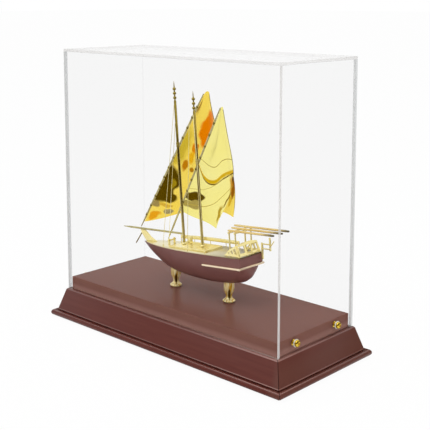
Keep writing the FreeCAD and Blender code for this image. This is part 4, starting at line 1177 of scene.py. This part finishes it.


# Painted reflections on each sail: patches by centre, length and width, slant, soft edge and colour;
# lines by points, width and colour
main_gold = sheet_gold(
    "mirror_gold_sheet_main",
    ("#ffd94a", "#ffe874"),
    [
        ((-40, 223.2), (40, 13), -56, 0.5, "#d6ba36"),
        ((-3, 246.2), (30, 11), -63, 0.3, "#ef8400"),
        ((-23, 222.2), (9, 3), -75, 0.4, "#e8900c"),
        ((-29, 209.2), (12, 5), -65, 0.5, "#f2b81c"),
        ((-39, 200.2), (9, 4), -70, 0.4, "#c8820c"),
        ((-31, 195.2), (4, 3), 0, 0.5, "#b87c08"),
        ((-67, 174.2), (32, 18), -50, 0.2, "#5a4400"),
        ((-63, 157.2), (17, 6), -4, 0.3, "#5a4400"),
        ((-55, 174.2), (10, 4), -80, 0.6, "#a58a14"),
        ((-83, 147.2), (9, 5), -20, 0.4, "#a58e50"),
        ((-66, 140.2), (10, 5), -10, 0.4, "#aa9c6c"),
        ((-68, 148.2), (12, 2.5), -5, 0.4, "#e0b63c"),
        ((-87, 130.7), (13, 5), -24, 0.4, "#f0a81c"),
        ((35, 181), (16, 3.5), -80, 0.4, "#a06202"),
        ((30, 166), (9, 4), -70, 0.5, "#e0b830"),
    ],
    [],
)
mizzen_gold = sheet_gold(
    "mirror_gold_sheet_mizzen",
    ("#fff07c", "#fff8aa"),
    [
        ((43, 177.2), (9, 26), 0, 0.5, "#c98a12"),
        ((44, 185.2), (3, 14), 0, 0.4, "#6a4c08"),
        ((-17, 166.2), (17, 7), -5, 0.25, "#5e4702"),
        ((-21, 155.2), (14, 6.5), -5, 0.25, "#b09c50"),
        ((21.5, 149), (14, 2.6), -76, 0.5, "#c2a22c"),
        ((31, 169), (16, 1.7), -62, 0.5, "#9a7a18"),
    ],
    [
        (
            [(-16, 219.2), (-8.7, 209.2), (-2.6, 191.2), (9.3, 186.2), (25, 196.2), (42, 203.2)],
            3.2,
            "#dfb20c",
        ),
        (
            [(-16, 218.2), (-8.7, 208.2), (-2.6, 188.2), (9.3, 183.2), (25, 192.2), (42, 201.2)],
            1.1,
            "#755a06",
        ),
        ([(-12, 223.2), (-2.6, 212.2), (10.9, 204.2), (25, 214.2), (42, 217.2)], 0.7, "#b7a24a"),
        ([(-4, 155.2), (12, 161.2), (24.5, 171.2), (43, 187.2)], 0.6, "#c2aa48"),
        ([(-5, 175.2), (14, 184.2), (30, 198.2)], 0.5, "#d2bd5c"),
    ],
)


def on_poles(poles, t):
    """A point on the smooth curve that a row of poles draws, ends held."""
    count = len(poles)
    degree = min(3, count - 1)
    knots = [0] * degree + list(range(count - degree + 1)) + [count - degree] * degree
    x = min(t * (count - degree), count - degree - 1e-9)
    span = max(k for k in range(len(knots) - 1) if knots[k] <= x < knots[k + 1])
    line = [Vector(poles[span - degree + k]) for k in range(degree + 1)]
    for level in range(1, degree + 1):
        for k in range(degree, level - 1, -1):
            low = knots[span - degree + k]
            high = knots[span + 1 + k - level]
            line[k] = line[k - 1].lerp(line[k], (x - low) / (high - low))
    return line[degree]


def beside_yard(name, share):
    """A point on the sail's edge along a yard, just clear of the lashings."""
    (x, z), length, slope = YARDS[name][:3]
    aft, up = math.sin(math.radians(slope)), math.cos(math.radians(slope))
    along = length * share
    return (x + along * aft + SAIL_OFF_YARD * up, YARD_SIDE, z + along * up - SAIL_OFF_YARD * aft)


main_luff = [beside_yard("main", 0.968), beside_yard("main", 0.045)]
main_leech = [
    (23.6, 4.2, 184.8),
    (22.6, 6.6, 168.4),
    (24.4, 12.2, 135.2),
    (47.8, 16.3, 89.5),
    (44.7, 14.6, 55.2),
    (41.5, 13.0, 39.1),
]
main_head = [main_luff[0], (19.0, 3.8, 189.5), main_leech[0]]
main_bottom = [
    main_luff[1],
    (-77.8, 5.7, 27.5),
    (-48.9, 12.0, 37.0),
    (-4.1, 15.1, 45.4),
    (27.6, 13.6, 45.7),
    main_leech[-1],
]
mizzen_luff = [beside_yard("mizzen", 0.985), beside_yard("mizzen", 0.238)]
mizzen_leech = [
    (44.5, 3.5, 167.0),
    (45.4, 4.3, 154.7),
    (47.0, 6.0, 130.3),
    (54.9, 7.5, 91.9),
    (41.1, 7.6, 55.7),
    (23.5, 6.9, 37.0),
    (19.0, 6.8, 25.0),
]
mizzen_head = [mizzen_luff[0], (42.6, 3.6, 170.5), mizzen_leech[0]]
mizzen_bottom = [mizzen_luff[1], (-15.8, 6.1, 32.6), (3.6, 6.9, 34.6), mizzen_leech[-1]]
SAILS = {
    "main_sail": (main_luff, main_head, main_leech, main_bottom, 7.0, main_gold),
    "mizzen_sail": (mizzen_luff, mizzen_head, mizzen_leech, mizzen_bottom, 5.0, mizzen_gold),
}
for name, (luff, head, leech, foot, belly, finish) in SAILS.items():
    bpy.ops.object.select_all(action="DESELECT")
    bpy.ops.mesh.primitive_grid_add(x_subdivisions=48, y_subdivisions=72, size=1)
    sail = bpy.context.object
    sail.name = f"{name}_sheet"
    for vertex in sail.data.vertices:
        u, v = vertex.co.x + 0.5, 0.5 - vertex.co.y
        sides = on_poles(luff, v).lerp(on_poles(leech, v), u)
        ends = on_poles(head, u).lerp(on_poles(foot, u), v)
        top = Vector(luff[0]).lerp(Vector(leech[0]), u)
        bottom = Vector(luff[1]).lerp(Vector(leech[-1]), u)
        point = sides + ends - top.lerp(bottom, v)
        point.y += belly * math.sin(math.pi * u) * math.sin(math.pi * v)
        vertex.co = point * MM
    sheet = sail.modifiers.new("gauge", "SOLIDIFY")
    sheet.thickness = SAIL_GAUGE * MM
    sheet.offset = 0
    bpy.ops.object.modifier_apply(modifier=sheet.name)
    bpy.ops.object.mode_set(mode="EDIT")
    finish_piece(sail, finish, aboard, smooth=50)
    sail.visible_glossy = False
    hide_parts(name)
    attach(sail, "base")

# Rigging: four straight lengths of thin plated wire on the port side, soldered at both ends.
# Two come down from the main mast, one from the main yard and one from the mizzen mast.
WIRE_RADIUS = 0.3
PIN_TOP = DECK_TOP + 3.58
VANG_REACH = 166
side_gap = -(MAST_RADIUS + WIRE_RADIUS)
vang_x, _, vang_z = beside_yard("main", VANG_REACH / YARDS["main"][1])
pins = [(x, DEADEYE_INSET - breadth(x), PIN_TOP) for x in DEADEYE_STOPS]
wire_ends = (
    ((MAST_SPOTS[0], side_gap, 171), pins[0]),
    ((MAST_SPOTS[0], side_gap, 150), (BITT_X + 1, -BITT_SIDE, DECK_TOP + BITT_HEIGHT + 0.1)),
    ((vang_x - 1.5, YARD_SIDE - YARD_RADIUS - 0.5, vang_z + 1.1), pins[1]),
    ((MAST_SPOTS[1], side_gap, 160), pins[2]),
)
wires = [
    rod_piece("wire", gold, top, low, [(0, WIRE_RADIUS), (1, WIRE_RADIUS)], segments=10)
    for top, low in wire_ends
]
wires = join_pieces(wires, "rigging_wires_drawn")
wires.visible_glossy = False
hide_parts("rigging_wires")
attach(wires, "base")

# Cover: five sheets of clear cast acrylic, solvent bonded into a box that lifts off upwards.
# Their faces are perfectly clear; the sawn and polished edges pipe light and look milky white.
# The end sheets have slots open at the bottom, which slide down over the screw shanks.
GAUGE = 3
COVER_TOP = 338.2
WALL_TOP = COVER_TOP - GAUGE
INNER = HALF_WIDTH - GAUGE
GLUE_LINE = 0.04
SCREW_SIDE = 36.3
SCREW_HEIGHT = 45.7
SLOT_RADIUS = 2.4

acrylic = new_material("clear_cast_acrylic")
# Water-clear flat sheet: sight goes straight through, and it shines only where it is seen aslant
facing = add(acrylic, "ShaderNodeLayerWeight", {"Blend": 0.5})
gloss_share = add(
    acrylic,
    "ShaderNodeMapRange",
    {"Value": facing.outputs["Facing"], "From Min": 0.55, "To Max": 0.5},
    interpolation_type="SMOOTHERSTEP",
)
through = add(acrylic, "ShaderNodeBsdfTransparent", {"Color": linear("#fdfdfd")})
gloss = add(
    acrylic,
    "ShaderNodeBsdfPrincipled",
    {"Base Color": linear("#fafafa"), "Metallic": 1.0, "Roughness": 0.02},
)
sheet_look = add(
    acrylic,
    "ShaderNodeMixShader",
    {0: gloss_share.outputs[0], 1: through.outputs[0], 2: gloss.outputs[0]},
)
add(acrylic, "ShaderNodeOutputMaterial", {"Surface": sheet_look.outputs[0]})

acrylic_edge = new_material("polished_acrylic_edge")
# Polished saw cut: light carried inside the sheet leaves here, so the edge looks pale and solid.
# The saw's own marks are too fine to show, so they are drawn as 20 mm lengths
spot = add(acrylic_edge, "ShaderNodeTexCoord").outputs["Object"]
_, tone = clouded(acrylic_edge, spot, 20, 1, linear("#dcdad8"), linear("#e8e6e4"))
lay_finish(acrylic_edge, {"Base Color": tone, "Roughness": 0.2, "IOR": 1.49, "Alpha": 0.55})

acrylic_shade = new_material("acrylic_edge_in_shade")
# The same cut where no light is led to it: the grey of the sheet's own depth, in 33 mm lengths
spot = add(acrylic_shade, "ShaderNodeTexCoord").outputs["Object"]
_, tone = clouded(acrylic_shade, spot, 33.33, 1, linear("#c2c4c4"), linear("#d2d4d4"))
lay_finish(acrylic_shade, {"Base Color": tone, "Roughness": 0.3, "IOR": 1.49, "Alpha": 0.68})

acrylic_foot = new_material("acrylic_foot_edge")
# The cut that stands on the ledge: it gathers light towards the right-hand corner
spot = add(acrylic_foot, "ShaderNodeTexCoord").outputs["Object"]
dim, bright = linear("#c8aea4"), linear("#f6e6de")
gather, tone = faded(acrylic_foot, spot, 0, (0, 160), dim, bright, most=0.45)
lay_finish(acrylic_foot, {"Base Color": tone, "Roughness": 0.3, "IOR": 1.49, "Alpha": gather})


def upright(along, across, low, high):
    """The outline of an upright sheet, as pairs along it and up."""
    return [(along, low), (across, low), (across, high), (along, high)]


low, high = LEDGE + GLUE_LINE, WALL_TOP - GLUE_LINE
end_line = [(-INNER + GLUE_LINE, low)]
for middle in (-SCREW_SIDE, SCREW_SIDE):
    end_line.append((middle - SLOT_RADIUS, low))
    for step in range(13):
        a = math.radians(180 - 15 * step)
        end_line.append((middle + SLOT_RADIUS * math.cos(a), SCREW_HEIGHT + SLOT_RADIUS * math.sin(a)))
    end_line.append((middle + SLOT_RADIUS, low))
end_line += [(INNER - GLUE_LINE, low), (INNER - GLUE_LINE, high), (-INNER + GLUE_LINE, high)]
wide = upright(-HALF_LENGTH, HALF_LENGTH, low, high)
top_line = rectangle((-HALF_LENGTH, HALF_LENGTH), (-HALF_WIDTH, HALF_WIDTH), WALL_TOP)
wall = GAUGE - GLUE_LINE
SHEETS = {
    "cover_front": ([(x, -HALF_WIDTH, z) for x, z in wide], (0, wall, 0)),
    "cover_rear": ([(x, INNER + GLUE_LINE, z) for x, z in wide], (0, wall, 0)),
    "cover_left_end": ([(-HALF_LENGTH, y, z) for y, z in end_line], (GAUGE, 0, 0)),
    "cover_right_end": ([(HALF_LENGTH - GAUGE, y, z) for y, z in end_line], (GAUGE, 0, 0)),
    "cover_top": (top_line, (0, 0, GAUGE)),
}
for name, (outline, thickness) in SHEETS.items():
    sheet = finish_piece(plate_piece(f"{name}_sheet", [outline], thickness), acrylic, arris=0.3)
    bpy.ops.object.shade_flat()
    sheet.data.materials.append(acrylic_edge)
    sheet.data.materials.append(acrylic_foot)
    sheet.data.materials.append(acrylic_shade)
    thin = [abs(t) > 0 for t in thickness].index(True)
    for face in sheet.data.polygons:
        middle = face.center / MM
        beside_slot = abs(abs(middle.y) - SCREW_SIDE) < SLOT_RADIUS + 0.5
        in_slot = beside_slot and middle.z < SCREW_HEIGHT + SLOT_RADIUS + 0.5
        far_corner = middle.x < GAUGE - HALF_LENGTH + 1 and middle.y > INNER - 1
        plain = in_slot or far_corner or face.normal.z < -0.2 or abs(face.normal[thin]) > 0.99
        face.material_index = 0 if plain else 1
        if name == "cover_front" and face.normal.z < -0.9:
            face.material_index = 2
        elif not plain and name != "cover_top" and abs(face.normal.z) < 0.5 and middle.x * middle.y > 0:
            face.material_index = 3
    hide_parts(name)
    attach(sheet, "cover")

# Cover screws: brass button heads with a hex socket and a fine thread, on pressed nylon washers.
# They pass through the slots of the cover into the inserts and come out by 0.7 mm to a turn.
CORNERS = {
    "right_front": (1, -SCREW_SIDE),
    "right_rear": (1, SCREW_SIDE),
    "left_front": (-1, -SCREW_SIDE),
    "left_rear": (-1, SCREW_SIDE),
}
nylon = new_material("natural_nylon")
# Unfilled nylon: a waxy off-white with a soft shine and slight depth, clouded every 3 mm
spot = add(nylon, "ShaderNodeTexCoord").outputs["Object"]
_, tone = clouded(nylon, spot, 3.333, 2, linear("#d9d4c6"), linear("#f0ede3"))
lay_finish(nylon, {"Base Color": tone, "Roughness": 0.4, "Subsurface Weight": 0.1})

WASHER_GAUGE = 1.0
washer_line = [(2.05, 0), (4.25, 0), (4.4, 0.15), (4.4, 0.8), (4.25, WASHER_GAUGE)]
washer_line += [(2.05, WASHER_GAUGE), (2.05, 0)]
SHANK = 11.5
SHANK_RADIUS = 2.0
THREAD_STEP = 0.7
HEAD_RADIUS = 3.75
HEAD_HEIGHT = 3.2
SOCKET_RADIUS = 1.45
SOCKET_DEPTH = 1.8
thread = []
for turn in range(15):
    base = THREAD_STEP * turn - SHANK + 0.1
    thread += [(1.62, base), (SHANK_RADIUS, base + 0.3), (SHANK_RADIUS, base + 0.4)]
dome_turns = [math.radians(angle) for angle in range(0, 61, 10)]
dome = [(HEAD_RADIUS * math.cos(a), HEAD_HEIGHT / 2 * (1 + math.sin(a))) for a in dome_turns]
screw_line = [(0, -SHANK), (1.4, -SHANK), *thread, (SHANK_RADIUS, -0.6), (SHANK_RADIUS, 0)]
screw_line += [(3.6, 0), (HEAD_RADIUS, 0.2), *dome, (1.75, HEAD_HEIGHT), (0, HEAD_HEIGHT)]
pressed_washer = turn_piece("pressed_washer", washer_line, nylon, segments=40)
turned_screw = turn_piece("turned_screw", screw_line, brass, segments=40)
bpy.ops.object.select_all(action="DESELECT")
bpy.ops.mesh.primitive_cylinder_add(
    vertices=6,
    radius=SOCKET_RADIUS * MM,
    depth=2 * SOCKET_DEPTH * MM,
    location=(0, 0, HEAD_HEIGHT * MM),
)
broach = bpy.context.object
socket = turned_screw.modifiers.new("socket", "BOOLEAN")
socket.object = broach
socket.solver = "EXACT"
bpy.context.view_layer.objects.active = turned_screw
bpy.ops.object.modifier_apply(modifier=socket.name)
bpy.data.objects.remove(broach)
turned_screw.select_set(True)
bpy.ops.object.shade_smooth_by_angle(angle=math.radians(40))
for corner, (side, y) in CORNERS.items():
    face_out = Matrix.Rotation(math.radians(90 * side), 4, "Y")
    spot = Matrix.Translation(Vector((side * HALF_LENGTH, y, SCREW_HEIGHT)) * MM) @ face_out
    washer = copy_piece(pressed_washer, f"washer_{corner}_pressing", spot)
    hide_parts(f"washer_{corner}")
    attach(washer, f"washer_{corner}")
    spot = spot @ Matrix.Translation((0, 0, WASHER_GAUGE * MM))
    screw = copy_piece(turned_screw, f"cover_screw_{corner}_turning", spot)
    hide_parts(f"cover_screw_{corner}")
    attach(screw, f"screw_{corner}")
bpy.data.objects.remove(pressed_washer)
bpy.data.objects.remove(turned_screw)

# Studio: a white floor that runs out of sight, two softboxes and a low dark band round the right
# and the rear. The band shows only in reflections; it gives polished gold its dark streaks.


def in_sight(owner):
    """One for rays that the viewer sees: straight, mirrored or through a sheet; none for plain light."""
    path = add(owner, "ShaderNodeLightPath")
    straight, mirrored = path.outputs["Is Camera Ray"], path.outputs["Is Glossy Ray"]
    seen = add(owner, "ShaderNodeMath", {0: straight, 1: mirrored}, operation="MAXIMUM")
    through = path.outputs["Is Transmission Ray"]
    return add(owner, "ShaderNodeMath", {0: seen.outputs[0], 1: through}, operation="MAXIMUM").outputs[0]


floor_white = new_material("white_paper_sweep")
# Matt paper, lit until it is almost plain white; its fibres are too fine to show, so they are
# drawn 2.5 mm wide
spot = add(floor_white, "ShaderNodeTexCoord").outputs["Object"]
_, tone = clouded(floor_white, spot, 2.5, 2, linear("#f6f6f6"), linear("#fcfcfc"))
paper = add(floor_white, "ShaderNodeBsdfDiffuse", {"Color": tone})
glow = add(floor_white, "ShaderNodeEmission", {"Color": linear("#ffffff"), "Strength": 1.0})
lifted = add(floor_white, "ShaderNodeMixShader", {0: 0.96, 1: paper.outputs[0], 2: glow.outputs[0]})
final = add(
    floor_white,
    "ShaderNodeMixShader",
    {0: in_sight(floor_white), 1: paper.outputs[0], 2: lifted.outputs[0]},
)
add(floor_white, "ShaderNodeOutputMaterial", {"Surface": final.outputs[0]})
bpy.ops.object.select_all(action="DESELECT")
bpy.ops.mesh.primitive_plane_add(size=40)
floor = bpy.context.object
floor.name = "floor"
floor.data.materials.append(floor_white)

band_dark = new_material("soft_dark_band")
# Dark cloth with a soft upper edge: a deep olive that goes over into cream 320 to 360 mm up
spot = add(band_dark, "ShaderNodeTexCoord").outputs["Object"]
place = add(band_dark, "ShaderNodeSeparateXYZ", {0: spot})
edge = {"From Min": 320 * MM, "From Max": 360 * MM, "To Min": 1.0, "To Max": 0.0}
fade = add(
    band_dark,
    "ShaderNodeMapRange",
    {"Value": place.outputs[2], **edge},
    interpolation_type="SMOOTHSTEP",
)
shade = add(
    band_dark,
    "ShaderNodeMix",
    {0: fade.outputs[0], 6: linear("#f4f0e4"), 7: linear("#5c4a14")},
    data_type="RGBA",
)
dim_glow = add(band_dark, "ShaderNodeEmission", {"Color": shade.outputs[2], "Strength": 1.0})
add(band_dark, "ShaderNodeOutputMaterial", {"Surface": dim_glow.outputs[0]})
# Start and end, as degrees round from the front towards the right, and height
BANDS = {"band_right": (-5, 120, 360), "band_rear": (120, 223, 140)}
BAND_RADIUS = 500
for name, (start, end, height) in BANDS.items():
    turns = [math.radians(start + (end - start) * step / 24) for step in range(25)]
    arc = [(BAND_RADIUS * math.sin(a), -BAND_RADIUS * math.cos(a), 0) for a in turns]
    band = start_piece(name, arc[0])
    draw_on(arc)
    bpy.ops.mesh.select_all(action="SELECT")
    bpy.ops.mesh.extrude_region_move(TRANSFORM_OT_translate={"value": (0, 0, height * MM)})
    finish_piece(band, band_dark)
    band.visible_camera = False
    band.visible_diffuse = False
    band.visible_transmission = False
    band.visible_shadow = False

scene = bpy.context.scene
world = bpy.data.worlds.new("white_studio")
world.use_nodes = True
scene.world = world
world.node_tree.nodes.clear()
level = add(world, "ShaderNodeMapRange", {"Value": in_sight(world), "To Min": 0.7, "To Max": 1.0})
sky = add(world, "ShaderNodeBackground", {"Color": linear("#ffffff"), "Strength": level.outputs[0]})
add(world, "ShaderNodeOutputWorld", {"Surface": sky.outputs[0]})

# Size, power and place of the softbox overhead and of a weaker one low on the right
LAMPS = {"softbox": (1.8, 14.0, (-0.3, -0.8, 1.8)), "fill": (0.9, 3.0, (1.5, -0.2, 0.45))}
for name, (size, power, spot) in LAMPS.items():
    lamp = bpy.data.lights.new(name, "AREA")
    lamp.size = size
    lamp.energy = power
    holder = bpy.data.objects.new(name, lamp)
    holder.location = spot
    holder.rotation_mode = "QUATERNION"
    holder.rotation_quaternion = (Vector((0, 0, 0.1)) - holder.location).to_track_quat("-Z", "Y")
    scene.collection.objects.link(holder)

# Camera: the photograph's viewing angle, from the right-hand front corner and a little above.
# It looks down only a little and the lens is shifted down, so the case's uprights stay nearly upright.
YAW = math.radians(43.064)
DIP = math.radians(7.726)
lens = bpy.data.cameras.new("camera")
lens.lens = 77.02
lens.sensor_width = 36
lens.shift_y = -0.2198
camera = bpy.data.objects.new("camera", lens)
camera.location = (0.73282, -0.76114, 0.40249)
ahead = Vector((-math.sin(YAW) * math.cos(DIP), math.cos(YAW) * math.cos(DIP), -math.sin(DIP)))
camera.rotation_mode = "QUATERNION"
camera.rotation_quaternion = ahead.to_track_quat("-Z", "Y")
scene.collection.objects.link(camera)
scene.camera = camera
scene.view_settings.view_transform = "Standard"
